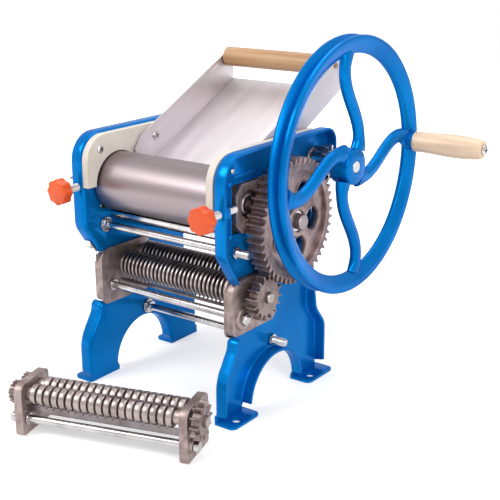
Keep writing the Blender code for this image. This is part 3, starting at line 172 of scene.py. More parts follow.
def welded(bm, reach=0.0005):
    bmesh.ops.remove_doubles(bm, verts=bm.verts[:], dist=reach)
    return facedOut(bm)


def bevelled(bm, geom, reach, segments, affect="EDGES", clamp=False):
    bmesh.ops.bevel(bm, geom=geom, offset=reach, segments=segments, profile=0.5, affect=affect, material=-1,
                    clamp_overlap=clamp)
    return bm


def wireFace(points, level=0.0):
    bm = bmesh.new()
    bm.faces.new([bm.verts.new((level, y, z)) for y, z, *rest in points])
    return bm


def roundCorners(bm, corners, segments=6):
    for y, z, radius in corners:
        if radius:
            vert = min(bm.verts, key=lambda v: (v.co.y - y) ** 2 + (v.co.z - z) ** 2)
            ways = [edge.other_vert(vert).co - vert.co for edge in vert.link_edges]
            reach = radius / math.tan(ways[0].angle(ways[1]) / 2)
            bevelled(bm, [vert], reach, segments, "VERTICES")
    return bm


def holesIn(bm, level, holes, steps=32):
    # A hole in a flat face at x = level is a circle (y, z, radius) or an outline of four or more corners
    bmesh.ops.delete(bm, geom=bm.faces[:], context="FACES_ONLY")
    for hole in holes:
        if len(hole) == 3:
            bmesh.ops.create_circle(bm, segments=steps, radius=hole[2], matrix=shift(*hole[:2], level) @ alongX)
        else:
            outline = roundCorners(wireFace(hole, level), hole)
            ring = [bm.verts.new(v.co) for v in outline.faces[:][0].verts]
            for near, far in zip(ring, ring[1:] + ring[:1]):
                bm.edges.new((near, far))
            outline.free()
    bmesh.ops.triangle_fill(bm, edges=bm.edges[:], use_beauty=True, use_dissolve=False)
    return bm


def thicken(bm, depth):
    made = bmesh.ops.extrude_face_region(bm, geom=bm.faces[:])
    bmesh.ops.translate(bm, verts=vertsIn(made["geom"]), vec=(depth, 0, 0))
    return facedOut(bm)


def soften(bm, width, segments=2, sharp=35):
    edges = [e for e in bm.edges if len(e.link_faces) == 2 and e.calc_face_angle() > math.radians(sharp)]
    return bevelled(bm, edges, width, segments, clamp=True)


def plate(corners, start, end, holes=(), edge=0.5, segments=6, steps=32):
    bm = roundCorners(wireFace(corners, start), corners, segments)
    if holes:
        holesIn(bm, start, holes, steps)
    thicken(bm, end - start)
    return soften(bm, edge) if edge else bm


def spun(profile, steps=64, ring=False):
    # A profile of (x, radius) turned about the X axis
    bm = bmesh.new()
    verts = [bm.verts.new((x, r, 0)) for x, r in profile]
    pairs = list(zip(verts, verts[1:]))
    if ring:
        pairs.append((verts[-1], verts[0]))
    edges = [bm.edges.new(pair) for pair in pairs]
    bmesh.ops.spin(bm, geom=verts + edges, axis=(1, 0, 0), angle=math.tau, steps=steps, use_merge=True)
    return welded(bm)


def rod(start, end, radius, edge=0.6, steps=40):
    return spun([
        (start, 0), (start, radius - edge), (start + edge, radius),
        (end - edge, radius), (end, radius - edge), (end, 0),
    ], steps)


def hexNut(start, end, radius, turn=0.0):
    # radius is to the corners; both faces are chamfered like a real nut
    bm = spun([(start, 0), (start, radius), (end, radius), (end, 0)], 6)
    bmesh.ops.rotate(bm, verts=bm.verts[:], cent=(0, 0, 0), matrix=Matrix.Rotation(turn, 3, "X"))
    return soften(bm, radius * 0.09, 2)


def washer(start, end, inner, outer, steps=40):
    edge = (end - start) * 0.2
    return spun([
        (start, inner), (start, outer - edge), (start + edge, outer),
        (end - edge, outer), (end, outer - edge), (end, inner),
    ], steps, True)


def thread(start, end, radius, pitch=1.25, steps=20, depth=0.7):
    # One turn's profile swept as a helix, over a plain core
    bm = bmesh.new()
    tooth = ((0, radius - depth), (pitch / 2, radius), (pitch, radius - depth))
    verts = [bm.verts.new((start + x, r, 0)) for x, r in tooth]
    edges = [bm.edges.new(pair) for pair in zip(verts, verts[1:])]
    turns = max(1, int((end - start) / pitch) - 1)
    bmesh.ops.spin(bm, geom=verts + edges, axis=(1, 0, 0), dvec=(pitch / steps, 0, 0),
                   angle=math.tau * turns, steps=steps * turns)
    return together(welded(bm), rod(start, end, radius - 0.6, 0.3, 24))


def meshOf(name, bm):
    mesh = bpy.data.meshes.new(name)
    bm.to_mesh(mesh)
    bm.free()
    return mesh


def objectOf(name, data):
    made = bpy.data.objects.new(name, data)
    bpy.context.scene.collection.objects.link(made)
    return made


def together(first, *others):
    for other in others:
        kept = meshOf("joined", other)
        first.from_mesh(kept)
        bpy.data.meshes.remove(kept)
    return first


def moved(bm, matrix):
    bm.transform(matrix)
    if matrix.determinant() < 0:
        bmesh.ops.reverse_faces(bm, faces=bm.faces[:])
    return bm


def mirrored(bm, side):
    return moved(bm, mirrorX) if side < 0 else bm


def finished(name, bm, material, body, stands=(), place=Matrix(), smooth=32, slot=None):
    # place is a matrix, or the name of the shaft that the piece sits on
    bm.transform(shift(*axes[place]) if isinstance(place, str) else place)
    bm.transform(toWorld)
    mesh = meshOf(name, bm)
    mesh.materials.append(material)
    mesh.polygons.foreach_set("use_smooth", [True] * len(mesh.polygons))
    mesh.set_sharp_from_angle(angle=math.radians(smooth))
    made = objectOf(name, mesh)
    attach(made, body)
    slot = slot or slotOf[material.name]
    if stands:
        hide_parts(*stands)


def sheetMade(bm, thickness, edge):
    # Modifiers give the folded sheet its thickness and its softened edges
    mesh = meshOf("sheet", bm)
    carrier = objectOf("sheet", mesh)
    thick = carrier.modifiers.new("thick", "SOLIDIFY")
    thick.thickness = thickness
    thick.offset = -1
    thick.use_even_offset = False
    edges = carrier.modifiers.new("edges", "BEVEL")
    edges.width = edge
    edges.segments = 2
    edges.limit_method = "ANGLE"
    edges.angle_limit = math.radians(50)
    result = bpy.data.meshes.new_from_object(carrier.evaluated_get(bpy.context.evaluated_depsgraph_get()))
    made = bmesh.new()
    made.from_mesh(result)
    bpy.data.objects.remove(carrier)
    bpy.data.meshes.remove(mesh)
    bpy.data.meshes.remove(result)
    return made


def halfTooth(radius, teeth, module, backlash):
    # Half the angle of an involute tooth at this radius
    pressure = math.radians(20)
    pitch = teeth * module / 2
    base = pitch * math.cos(pressure)
    half = (math.pi * module / 2 - backlash) / (2 * pitch) + math.tan(pressure) - pressure
    if radius <= base:
        return half
    angle = math.acos(base / radius)
    return half - (math.tan(angle) - angle)


def meshPhase(phase, teeth, mateTeeth, line):
    # The turn that sets the mate's gap on a tooth, along the line between the two shafts
    offset = (line - phase) % (math.tau / teeth)
    return line + math.pi + offset * teeth / mateTeeth + math.pi / mateTeeth


def gearRing(gear, start, width, inner, edge=0.35):
    # One tooth's edge chain, copied round by spin, filled and thickened
    teeth, module, backlash = gear["teeth"], gear["module"], gear["backlash"]
    pitch = teeth * module / 2
    root, tip = pitch - module * gear["dedendum"], pitch + module * gear["addendum"]
    slim = 0.8 if teeth < 17 else 1.0
    foot = halfTooth(root, teeth, module, backlash) * slim
    top = halfTooth(tip, teeth, module, backlash)
    chain = [(root + (tip - root) * share, foot + (top - foot) * share ** 0.93)
             for share in (0.0, 0.12, 0.4, 0.72, 1.0)]
    around = [(r, -a) for r, a in chain] + [(r, a) for r, a in reversed(chain)]
    around.append((root, math.tau / teeth - foot))
    bm = bmesh.new()
    verts = []
    for radius, angle in around:
        turn = gear["phase"] + angle
        verts.append(bm.verts.new((start, radius * math.cos(turn), radius * math.sin(turn))))
    edges = [bm.edges.new(pair) for pair in zip(verts, verts[1:])]
    bmesh.ops.spin(bm, geom=verts + edges, axis=(1, 0, 0), angle=math.tau, steps=teeth, use_duplicate=True)
    welded(bm, 0.02)
    holesIn(bm, start, [(0, 0, inner)], 48)
    thicken(bm, width)
    return soften(bm, edge, 1, 50)


print("helpers ready")


stand = {
    "inner": 94.0, "rim": 110.0, "sheet": 3.0, "edge": 0.8, "fold": 5.0, "foldSteps": 4,
    "corners": [  # (y, z, round)
        (147, 0, 0), (147, 9, 0), (147, 11.5, 0), (147, 62, 18), (127, 87, 18),
        (127, 171, 0), (127, 173, 0), (127, 222, 14), (137, 229.3, 0), (138.5, 230.4, 0),
        (165.25, 250, 14), (165.25, 302, 20), (-52, 302, 32), (-52, 193, 22),
        (-29, 158.386, 0), (-20, 158.386, 0), (51.356, 158.386, 3), (51.356, 95.186, 3),
        (-33, 95.186, 7), (-33, 84, 14), (-53.5, 52, 40),
        (-53.5, 11.5, 0), (-53.5, 9, 0), (-53.5, 0, 0), (-5, 0, 0),
    ],
    "arch": [(-5, 55, 49.9), (95, 55, 49.9)],
    "archFoot": [(95, 0, 0)],
    "footHeight": 9.5,
    "notch": (-22, 57, 89.5, 164),
    "gearSwing": 74.0,
    "gearSwingRim": 100.5,
    "bores": {"rear": 17.3, "drive": 13.3, "frontRod": 4.7, "lowerRod": 4.7},
    "screwHole": (-21.0, 281.0, 2.6),
    "window": box(-24.8, 211, 38, 266, 4),
    "windowMiddle": 238,
    "bead": 2.2,
    "rib": box(-22, 271, 22, 276, 2.4),
    "tab": {"inner": 95.5, "outer": 122, "round": 7, "holeOut": 111.7, "hole": 5, "edge": 0.7},
    "tabEnds": ((-55.5, -5, -36.9), (95, 149, 112.6)),  # front, rear and hole
}
screwOut = 102.5  # the adjusting screws' distance from the middle


def openEdge(y, z):
    # The feet and the cutter's notch have no flange
    front, rear, low, high = stand["notch"]
    return z < stand["footHeight"] or (front < y < rear and low < z < high)


def sideFrame(side):
    size = stand
    corners = size["corners"] + size["arch"] + size["archFoot"]
    bm = wireFace(corners, size["rim"])
    roundCorners(bm, [c for c in corners if c not in size["arch"]], 8)
    roundCorners(bm, size["arch"], 16)
    rim = bm.faces[:][0]
    bmesh.ops.recalc_face_normals(bm, faces=[rim])
    bmesh.ops.extrude_face_region(bm, geom=[rim])
    low = [f for f in bm.faces if len(f.verts) > 8]
    web = low[-1]
    bmesh.ops.translate(bm, verts=web.verts[:], vec=(size["inner"] + size["fold"] - size["rim"], 0, 0))
    bmesh.ops.delete(bm, geom=[f for f in low if f is not web], context="FACES_ONLY")
    for step in range(size["foldSteps"]):
        first, last = (math.pi / 2 * (step + share) / size["foldSteps"] for share in (0, 1))
        inset = size["fold"] * (math.cos(first) - math.cos(last))
        bmesh.ops.inset_region(bm, faces=[web], thickness=inset, use_boundary=True, use_even_offset=True)
        drop = size["fold"] * (math.sin(first) - math.sin(last))
        bmesh.ops.translate(bm, verts=web.verts[:], vec=(drop, 0, 0))
    walls = [f for f in bm.faces if max(v.co.x for v in f.verts) > size["rim"] - 0.01]
    plain = [f for f in walls if openEdge(*f.calc_center_median().yz)]
    bmesh.ops.delete(bm, geom=plain, context="FACES")
    for vert in bm.verts:
        if openEdge(*vert.co.yz):
            vert.co.x = size["inner"]
        swing = math.hypot(vert.co.y - axes["rear"][0], vert.co.z - axes["rear"][1])
        if side > 0 and swing < size["gearSwing"] and vert.co.x > size["gearSwingRim"]:
            vert.co.x = size["gearSwingRim"]
    # The web is filled again, round its holes, from a copy of its boundary
    boundary = web.edges[:]
    bmesh.ops.delete(bm, geom=[web], context="FACES_ONLY")
    rings = bmesh.new()
    keyed = {}
    for edge in boundary:
        for vert in edge.verts:
            if vert not in keyed:
                keyed[vert] = rings.verts.new(vert.co)
        rings.edges.new([keyed[vert] for vert in edge.verts])
    bores = [(*axes[key], radius) for key, radius in size["bores"].items()]
    holesIn(rings, size["inner"], [*bores, size["screwHole"], size["window"]], 40)
    welded(together(bm, rings), 0.01)
    flat = max(bm.faces, key=lambda f: f.calc_area() if abs(f.normal.x) > 0.99 else 0)
    if flat.normal.x > 0:
        bmesh.ops.reverse_faces(bm, faces=bm.faces[:])
    return sheetMade(bm, size["sheet"], size["edge"])


def footTab(front, rear, hole):
    # Drawn in (y, x) and laid flat on the bench
    tab = stand["tab"]
    corners = [(front, tab["inner"], 0), (front, tab["outer"], tab["round"]),
               (rear, tab["outer"], tab["round"]), (rear, tab["inner"], 0)]
    bm = plate(corners, 0, stand["sheet"], [(hole, tab["holeOut"], tab["hole"])], tab["edge"])
    bm.transform(Matrix(((0, 0, 1, 0), (0, 1, 0, 0), (1, 0, 0, 0), (0, 0, 0, 1))))
    return facedOut(bm)


def windowBead():
    # The pressed lip round the bearing window, with a small swelling at each front corner
    window, lip, middle = stand["window"], stand["bead"], stand["windowMiddle"]
    around = [(y + math.copysign(lip, y), z + math.copysign(lip, z - middle), r + lip) for y, z, r in window]
    bead = plate(around, 96.8, 98.7, [window], 0.6)
    for y, z, *rest in window:
        if y < 0:
            knot = spun([(96.8, 0), (96.8, 3.4), (98.2, 3.2), (99.2, 2.0), (99.5, 0)], 24)
            together(bead, moved(knot, shift(y - 1.2, z + math.copysign(1.2, z - middle))))
    return bead


for side, name in sides:
    weldNut = moved(hexNut(-50.5, -41, 9, math.pi / 6), shift(0, axes["front"][1], screwOut) @ faceFront)
    rib = plate(stand["rib"], 95.5, 98.5, (), 1.0)
    tabs = [footTab(*ends) for ends in stand["tabEnds"]]
    shell = together(sideFrame(side), *tabs, weldNut, rib, windowBead())
    finished("standPlate_" + name, mirrored(shell, side), bluePaint, "frame", ["side_frame_" + name])
print("stand made")


cheek = {"inner": 85.2, "outer": 93.7, "front": -51.5, "top": 300.0, "rear": 157.0, "low": 276.0, "reach": 36.5,
         "frontReach": 37.6, "frontMiddle": -0.7, "squash": 0.955, "shaftReach": 14.5, "edge": 1.1,
         "screw": (-30, 284), "screwTip": (-21, 281)}


def arcTo(bm, centre, start, turn, steps):
    # A chain of edges round a centre, made by spinning one vertex
    vert = bm.verts.new((0, centre[0] + start[0], centre[1] + start[1]))
    made = bmesh.ops.spin(bm, geom=[vert], cent=(0, *centre), axis=(1, 0, 0), angle=turn, steps=steps)
    return vert, vertsIn(made["geom_last"])[0]


def liner():
    # A cheek plate cut out round both rollers, up to where their circles meet, and round the drive shaft
    size = cheek
    bm = bmesh.new()
    reach, frontReach, shaftReach = size["reach"], size["frontReach"], size["shaftReach"]
    middle = (size["frontMiddle"], axes["front"][1])
    along = (axes["rear"][0] - middle[0], axes["rear"][1] - middle[1])
    apart = math.hypot(*along)
    line = math.atan2(along[1], along[0])
    toNip = (apart ** 2 + frontReach ** 2 - reach ** 2) / (2 * apart)
    nip = line + math.acos(toNip / frontReach)
    frontA, frontB = arcTo(bm, middle, (-frontReach, 0), nip - math.pi, 36)
    for vert in bm.verts:
        vert.co.z = middle[1] + (vert.co.z - middle[1]) * size["squash"]
    first = math.pi + line - math.acos((apart - toNip) / reach)
    start = (reach * math.cos(first), reach * math.sin(first))
    rearA, rearB = arcTo(bm, axes["rear"], start, math.radians(15) - first, 24)
    shaftA, shaftB = arcTo(bm, axes["drive"], (-shaftReach, 0), -math.radians(130), 16)
    chain = [frontB, rearA, rearB, bm.verts.new((0, axes["drive"][0] - shaftReach, rearB.co.z)), shaftA, shaftB]
    for y, z in (("rear", "low"), ("rear", "top"), ("front", "top")):
        chain.append(bm.verts.new((0, size[y], size[z])))
    chain += [bm.verts.new((0, size["front"], axes["front"][1])), frontA]
    for index, pair in enumerate(zip(chain, chain[1:])):
        if index not in (1, 4):  # the two arcs join these themselves
            bm.edges.new(pair)
    welded(bm, 0.01)
    bmesh.ops.edgeloop_fill(bm, edges=bm.edges[:])
    roundCorners(bm, [(size["rear"], size["top"], 16), (size["front"], size["top"], 30)], 10)
    bmesh.ops.translate(bm, verts=bm.verts[:], vec=(size["inner"], 0, 0))
    thicken(bm, size["outer"] - size["inner"])
    return soften(bm, size["edge"], 3)


def dressScrew(label, side, name, place, face, radius=4.9, height=2.6):
    # A cross-head screw on a wall that faces the middle; its cross slot is a near-black piece, painted shade
    head = spun([
        (face, 0), (face, radius), (face - height * 0.35, radius), (face - height * 0.8, radius * 0.72),
        (face - height, radius * 0.3), (face - height, 0),
    ], 28)
    slot = box(-radius * 0.62, -0.55, radius * 0.62, 0.55)
    # Painted shade: a near-black cross in place of the slot's shadow
    crossShade = plate(slot, face - height - 0.12, face - height * 0.5, (), 0.1)
    together(crossShade, moved(crossShade.copy(), Matrix.Rotation(math.pi / 2, 4, "X")))
    for part, bm, material in (("Screw_", head, brightSteel), ("ScrewCrossShade_", crossShade, paintedShadeFinish)):
        bm.transform(Matrix.Rotation(0.5, 4, "X"))
        bm.transform(shift(*place))
        finished(label + part + name, mirrored(bm, side), material, "frame")


for side, name in sides:
    finished("cheek_" + name, mirrored(liner(), side), creamPlastic, "frame", ["liner_" + name])
    dressScrew("cheek", side, name, cheek["screw"], cheek["inner"])
    tip = moved(rod(96.8, 98.6, 2.9, 0.7, 24), shift(*cheek["screwTip"]))
    finished("cheekScrewTip_" + name, mirrored(tip, side), brightSteel, "frame")
print("cheeks made")


tie = {"radius": 4.4, "washer": 9.0, "washerThick": 1.6, "nut": 7.4, "nutThick": 5.0, "lockNut": 3.2,
       "web": 93.7, "outer": 97.3, "end": 117.0}


def tieRod():
    size = tie
    radius, web, outer, end = size["radius"], size["web"], size["outer"], size["end"]
    thick, deep = size["washerThick"], size["washerThick"] + size["nutThick"]
    parts = [rod(-end + 4, end - 4, radius - 0.15, 0.6)]
    for side, name in sides[::-1]:
        fasteners = [
            washer(web - thick, web, radius - 0.2, size["washer"]),
            hexNut(web - deep, web - thick + 0.1, size["nut"]),
            hexNut(outer, outer + size["lockNut"], size["nut"], 0.2),
        ]
        parts.append(mirrored(together(thread(outer - 2, end, radius + 0.4), *fasteners), side))
    return together(*parts)


for name, key in (("front_tie_rod", "frontRod"), ("lower_tie_rod", "lowerRod")):
    finished(name + "Made", tieRod(), brightSteel, "frame", [name], key)


bushes = {  # shaft, CAD node, flange, sleeve and bore radius
    "rearBush_": ("rear", "rear_bearing_", 22, 17, 11.35),
    "driveBush_": ("drive", "shaft_bearing_", 17, 13, 9.35),
}


def bush(flange, sleeve, bore, face=97.3, depth=4.4):
    # A flanged bearing shell with a ball race showing at its face
    out = face + depth
    return spun([
        (95.5, bore), (95.5, sleeve), (face, sleeve), (face, flange - 0.8), (face + 0.8, flange),
        (out - 1.2, flange), (out, flange - 1.2), (out, sleeve - 1), (out - 1.2, sleeve - 2),
        (out - 1.2, bore + 1.5), (out - 0.4, bore + 1), (out - 0.4, bore),
    ], 48, True)


for side, name in sides:
    for label, (key, node, *radii) in bushes.items():
        finished(label + name, mirrored(bush(*radii), side), castGrey, "frame", [node + name], key)

scraper = {"half": 93.6, "drop": 35.5, "bar": 8, "reach": 9, "edge": 0.25}


def scraperBlade(toward):
    # A flat bar whose thin upper edge leans towards its roller
    size = scraper
    top = -size["drop"]
    tip = top - 0.3
    near = -toward
    far, reach = near - toward * size["bar"], near + toward * size["reach"]
    outline = [
        (far, top - size["bar"], 0), (near, top - size["bar"], 0), (near, tip - 2.4, 0),
        (reach, tip - 1.2, 0), (reach, tip - 0.6, 0), (far, tip - 0.6, 0),
    ]
    return plate(outline, -size["half"], size["half"], (), size["edge"])


for key, toward in (("front", 1), ("rear", -1)):
    finished(key + "_scraperMade", scraperBlade(toward), brightSteel, "frame", [key + "_scraper"], key)
print("rods, bushes and scrapers made")


tray = {"outer": 82.4, "sheet": 1.2, "slope": math.radians(26.1), "front": 39.0, "rear": 216.0, "floorZ": 248.8,
        "wallFront": [(36, 290.3, 8), (23.6, 274.3, 3)], "pinHole": 3.2, "screw": (61.6, 285.4), "screwHole": 2.4}


def trayShape():
    size = tray
    front, rear, floorZ, outer = size["front"], size["rear"], size["floorZ"], size["outer"]
    half, rise = size["sheet"] / 2, math.tan(size["slope"])
    endZ = floorZ + (rear - front) * rise
    upY, upZ = -math.sin(size["slope"]) * size["sheet"], math.cos(size["slope"]) * size["sheet"]
    shape = plate([
        (front, floorZ, 0), (rear, endZ, 0), (rear + upY, endZ + upZ, 0), (front + upY, floorZ + upZ, 0),
    ], -outer + half, outer - half, (), 0.2)
    topY, topZ, topRound = size["wallFront"][0]
    wall = [
        (front - half, floorZ - half, 0), (rear + half, endZ - 0.3, 1.5),
        (rear + half, topZ + (rear - topY) * rise, topRound), *size["wallFront"],
    ]
    holes = [(*axes["pin"], size["pinHole"]), (*size["screw"], size["screwHole"])]
    for side, name in sides[::-1]:
        together(shape, mirrored(plate(wall, outer - size["sheet"], outer, holes, 0.3), side))
    return shape


finished("doughTray", trayShape(), traySheet, "frame", ["tray"])
for side, name in sides:
    dressScrew("tray", side, name, tray["screw"], tray["outer"] - tray["sheet"], 5.2, 2.4)

barEnd = [(80.3, 11.2), (80.4, 3), (83.6, 3), (83.6, 0)]
bar = spun([(-x, r) for x, r in barEnd[::-1]] + [(-79.3, 12.2), (79.3, 12.2)] + barEnd, 48)
finished("trayBar", bar, barWood, "rolling_pin", ["rolling_pin"], "pin")
print("tray made")


rollers = {"radius": 35.0, "half": 92.1, "shaft": 11.0, "left": 131.0, "edge": 1.2}


def doughRoller(rightEnd):
    size = rollers
    left, half, shaft = size["left"], size["half"], size["shaft"]
    r, edge = size["radius"], size["edge"]
    return spun([
        (-left, 0), (-left, shaft - 1), (-left + 1, shaft), (-half, shaft), (-half, r - edge), (-half + edge, r),
        (half - edge, r), (half, r - edge), (half, shaft), *rightEnd,
    ], 128)


# The front shaft shows a turned hollow with a centre, the rear one steps down to carry the big gear
frontEnd = [(101.5, 11), (102.3, 10.2), (102.3, 9.2), (99.5, 8.8), (99.5, 5.4), (101.8, 5), (101.8, 2.4),
            (100.1, 2.2), (100.1, 0)]
rearEnd = [(103, 11), (103, 9), (130.5, 9), (131.3, 8.2), (131.3, 0)]
finished("frontDoughRoller", doughRoller(frontEnd), rollerSteel, "front_roller", ["front_roller"], "front")
# A near-black ring at the floor of the front shaft's hollow is painted shade
finished("frontShaftRecessShade", washer(99.5, 99.9, 5.5, 8.7, 64), paintedShadeFinish, "front_roller", (), "front",
         slot="satin_steel")
finished("rearDoughRoller", doughRoller(rearEnd), rollerSteel, "rear_roller", ["rear_roller"], "rear")

block = {
    "inner": 92.5, "outer": 102.6, "lip": 3.0, "bore": 11.35, "lipBore": 16,
    "corners": [(24, -30, 1.5), (24, 24.4, 1.5), (-12, 24.4, 1.5), (-22, 14.4, 1.5), (-22, -20, 1.5), (-12, -30, 1.5)],
    "backingShade": box(-24.4, -30.6, 24.6, 24.9),
    "race": [(97, 11.4), (97, 15.9), (100.2, 15.9), (100.2, 14.6), (99.7, 14.3), (99.7, 12.9), (100.2, 12.6),
             (100.2, 11.4)],
}
for side, name in sides:
    corners, lipStart = block["corners"], block["outer"] - block["lip"]
    body = plate(corners, block["inner"], lipStart, [(0, 0, block["bore"])], 0, 4, 48)
    lip = plate(corners, lipStart - 0.2, block["outer"], [(0, 0, block["lipBore"])], 0.7, 4, 48)
    # A near-black frame round the block's outline, in the gap to the stand, is painted shade
    backingShade = plate(block["backingShade"], block["inner"], 93.8, [corners], 0)
    finished("slideBlock_" + name, mirrored(together(body, lip), side), castGrey, "carriage",
             ["front_bearing_" + name], "front")
    finished("slideRace_" + name, mirrored(spun(block["race"], 48, True), side), brightSteel, "carriage", (), "front")
    finished("slideBackingShade_" + name, mirrored(backingShade, side), paintedShadeFinish, "carriage", (), "front", slot="cast_metal")

coarse = {"teeth": 13, "module": 5.5, "backlash": 1.9, "addendum": 0.9, "dedendum": 1.3}
coarsePhases = {"front": math.pi / 2, "rear": meshPhase(math.pi / 2, 13, 13, math.radians(-25.2))}
for key, phase in coarsePhases.items():
    gear = gearRing({**coarse, "phase": phase}, -128, 16, 11.3, 0.5)
    finished(key + "_roller_gearMade", gear, gearGrey, key + "_roller", [key + "_roller_gear"], key)
print("rollers made")


train = {"module": 3.0, "backlash": 0.7, "addendum": 0.95, "dedendum": 1.2}
bigGear = {"start": 103.3, "width": 21.0, "teeth": 46, "rimInner": 58.0, "hub": 18.0, "recess": 4.0,
           "backRecess": 12.0, "holes": 5, "holeRing": 33.0, "holeRadius": 13.0, "holeTurn": math.radians(-7),
           "lip": 2.4, "lipHeight": 1.1}
pinion = {"teeth": 12, "width": 19, "bore": 9.3, "line": math.radians(38)}


def bigGearShape():
    size = bigGear
    start, width, hub = size["start"], size["width"], size["hub"]
    toothed = gearRing({**train, "teeth": size["teeth"], "phase": 0.0}, start, width, size["rimInner"])
    turns = [size["holeTurn"] + math.tau * number / size["holes"] for number in range(size["holes"])]
    ring = size["holeRing"]
    holes = [(ring * math.cos(turn), ring * math.sin(turn), size["holeRadius"]) for turn in turns]
    back, end = start + size["backRecess"], start + width - size["recess"]
    bm = bmesh.new()
    bmesh.ops.create_circle(bm, cap_ends=True, segments=72, radius=size["rimInner"] + 0.6,
                            matrix=shift(0, 0, back) @ alongX)
    holesIn(bm, back, [(0, 0, hub - 1), *holes], 40)
    thicken(bm, end - back)
    soften(bm, 0.8, 2)
    lip, high = size["lip"], size["lipHeight"]
    for y, z, radius in [*holes, (0, 0, hub + 0.4)]:
        bead = spun([
            (end - 0.5, radius + 0.5), (end + high * 0.6, radius + 0.5), (end + high, radius + lip * 0.35),
            (end + high, radius + lip * 0.7), (end + high * 0.4, radius + lip), (end - 0.5, radius + lip),
        ], 40, True)
        together(bm, moved(bead, shift(y, z)))
    face = start + width
    hubMade = spun([
        (start, 9.4), (start, hub), (face - 1, hub), (face, hub - 1),
        (face, 12.9), (face - 0.6, 12.3), (face - 4, 12.3), (face - 4, 9.4),
    ], 56, True)
    return together(toothed, bm, hubMade)


finished("bigGearMade", bigGearShape(), gearGrey, "rear_roller", ["big_gear"], "rear")
finished("bigGearClip", washer(120.6, 122.2, 9.3, 12.0, 48), brightSteel, "rear_roller", ["big_gear_circlip"], "rear")
pinionPhase = meshPhase(0.0, bigGear["teeth"], pinion["teeth"], pinion["line"])
pinionMade = gearRing({**train, "teeth": pinion["teeth"], "phase": pinionPhase}, bigGear["start"],
                      pinion["width"], pinion["bore"])
finished("drivePinionMade", pinionMade, brightSteel, "handwheel", ["drive_pinion"], "drive")
print("gear train made")


wheel = {"radius": 147.5, "front": 157.0, "depth": 21.0, "width": 20.5, "groove": 13.0, "grooveFloor": 5.0,
         "grooveDepth": 10.0, "edge": 2.5, "dish": 7.0, "land": 4.5, "backFlange": 3.5, "hub": 21.0,
         "hubLength": 25.0, "spokes": 4, "half": 8.5, "thick": 6.0, "sway": 17.0, "swayTurns": 1.41,
         "swayStart": -0.655, "spokeBack": 8.5, "stations": 30, "flareReach": 9}


def wheelRim():
    size = wheel
    front, outer, edge, width = size["front"], size["radius"], size["edge"], size["width"]
    back, mid, inner = front - size["depth"], front - size["depth"] / 2, outer - width
    face = front - size["dish"]
    seat = face - size["land"]
    flange, floor = outer - size["backFlange"], outer - size["grooveDepth"]
    mouth, base = size["groove"] / 2, size["grooveFloor"] / 2
    return spun([
        (seat - 0.5, inner + 0.9), (back + 0.4, flange - 0.7), (back, flange), (back, outer - edge),
        (back + 0.7, outer - 0.7), (back + edge, outer), (mid - mouth - 0.5, outer), (mid - mouth + 0.5, outer - 1),
        (mid - base, floor + 0.6), (mid - base + 0.8, floor), (mid + base - 0.8, floor), (mid + base, floor + 0.6),
        (mid + mouth - 0.5, outer - 1), (mid + mouth + 0.5, outer), (front - edge, outer),
        (front - 0.7, outer - 0.7), (front, outer - edge), (front - 1.6, outer - width * 0.4),
        (front - 4.1, outer - width * 0.72), (face + 0.3, inner + 1.0), (face - 0.2, inner + 0.3),
        (face - 0.9, inner), (seat + 0.7, inner), (seat, inner + 0.25),
    ], 144, True)


def spokeArm(turn):
    # Oval sections along the S, bridged one to the next, flared where they run into hub and rim
    size = wheel
    bm = bmesh.new()
    inner, outer = size["hub"] * 0.75, size["radius"] - size["width"] * 0.8
    stations = size["stations"]
    places = []
    for step in range(stations + 1):
        share = step / stations
        across = size["sway"] * math.sin(math.pi * (share * size["swayTurns"] + size["swayStart"]))
        places.append(Vector((inner + (outer - inner) * share, across)))
    last = None
    for index, here in enumerate(places):
        run = places[min(index + 1, stations)] - places[max(index - 1, 0)]
        lean = math.atan2(run.y, run.x)
        nearEnd = min(here.x - inner, outer - here.x)
        flare = 1 + 0.45 * math.exp(-(nearEnd / size["flareReach"]) ** 2)
        slim = 1 - 0.28 * math.exp(-((outer - here.x) / size["flareReach"]) ** 2)
        matrix = (
            shift(0, 0, size["front"] - size["spokeBack"])
            @ Matrix.Rotation(turn, 4, "X")
            @ shift(here.x, here.y)
            @ Matrix.Rotation(lean, 4, "X")
            @ Matrix.Diagonal((size["thick"] * min(flare, 1.15) * slim, 1, size["half"] * flare, 1))
            @ Matrix.Rotation(math.pi / 2, 4, "X")
        )
        made = bmesh.ops.create_circle(bm, segments=24, radius=1, matrix=matrix)
        ring = list({edge for vert in made["verts"] for edge in vert.link_edges})
        if last:
            bmesh.ops.bridge_loops(bm, edges=last + ring)
        last = ring
    bmesh.ops.holes_fill(bm, edges=bm.edges[:], sides=0)
    return facedOut(bm)


def wheelHub():
    front, r = wheel["front"], wheel["hub"]
    back = front - wheel["hubLength"]
    return spun([
        (back, 7.3), (back, r - 2), (back + 0.7, r - 0.7), (back + 2, r), (front - 2.2, r),
        (front - 0.8, r - 0.7), (front, r - 2.4), (front, 7.9), (front - 0.6, 7.3),
    ], 64, True)


boss = spun([(147, 4.2), (147, 11), (157.5, 11), (159.2, 10.4), (160, 9), (160, 4.2)], 40, True)
boss.transform(shift(axes["grip"][0] - axes["drive"][0], axes["grip"][1] - axes["drive"][1]))
arms = [spokeArm(math.tau * number / wheel["spokes"]) for number in range(wheel["spokes"])]
finished("handwheelMade", together(wheelRim(), wheelHub(), boss, *arms), bluePaint, "handwheel", ["handwheel"],
         "drive", 40)

driveShaft = [(-103, 0), (-103, 8.2), (-102.2, 9), (131.7, 9), (131.7, 7), (156.4, 7), (157, 6.4), (157, 0)]
finished("driveShaftMade", spun(driveShaft, 40), brightSteel, "handwheel", ["drive_shaft"], "drive")
# A near-black key in the hub's bore stands for the keyway's shadow: painted shade
key = plate(box(-2, -9.4, 2, -5.5), 150, 156.9, (), 0.2)
finished("wheelKeyShade", key, paintedShadeFinish, "handwheel", (), "drive")

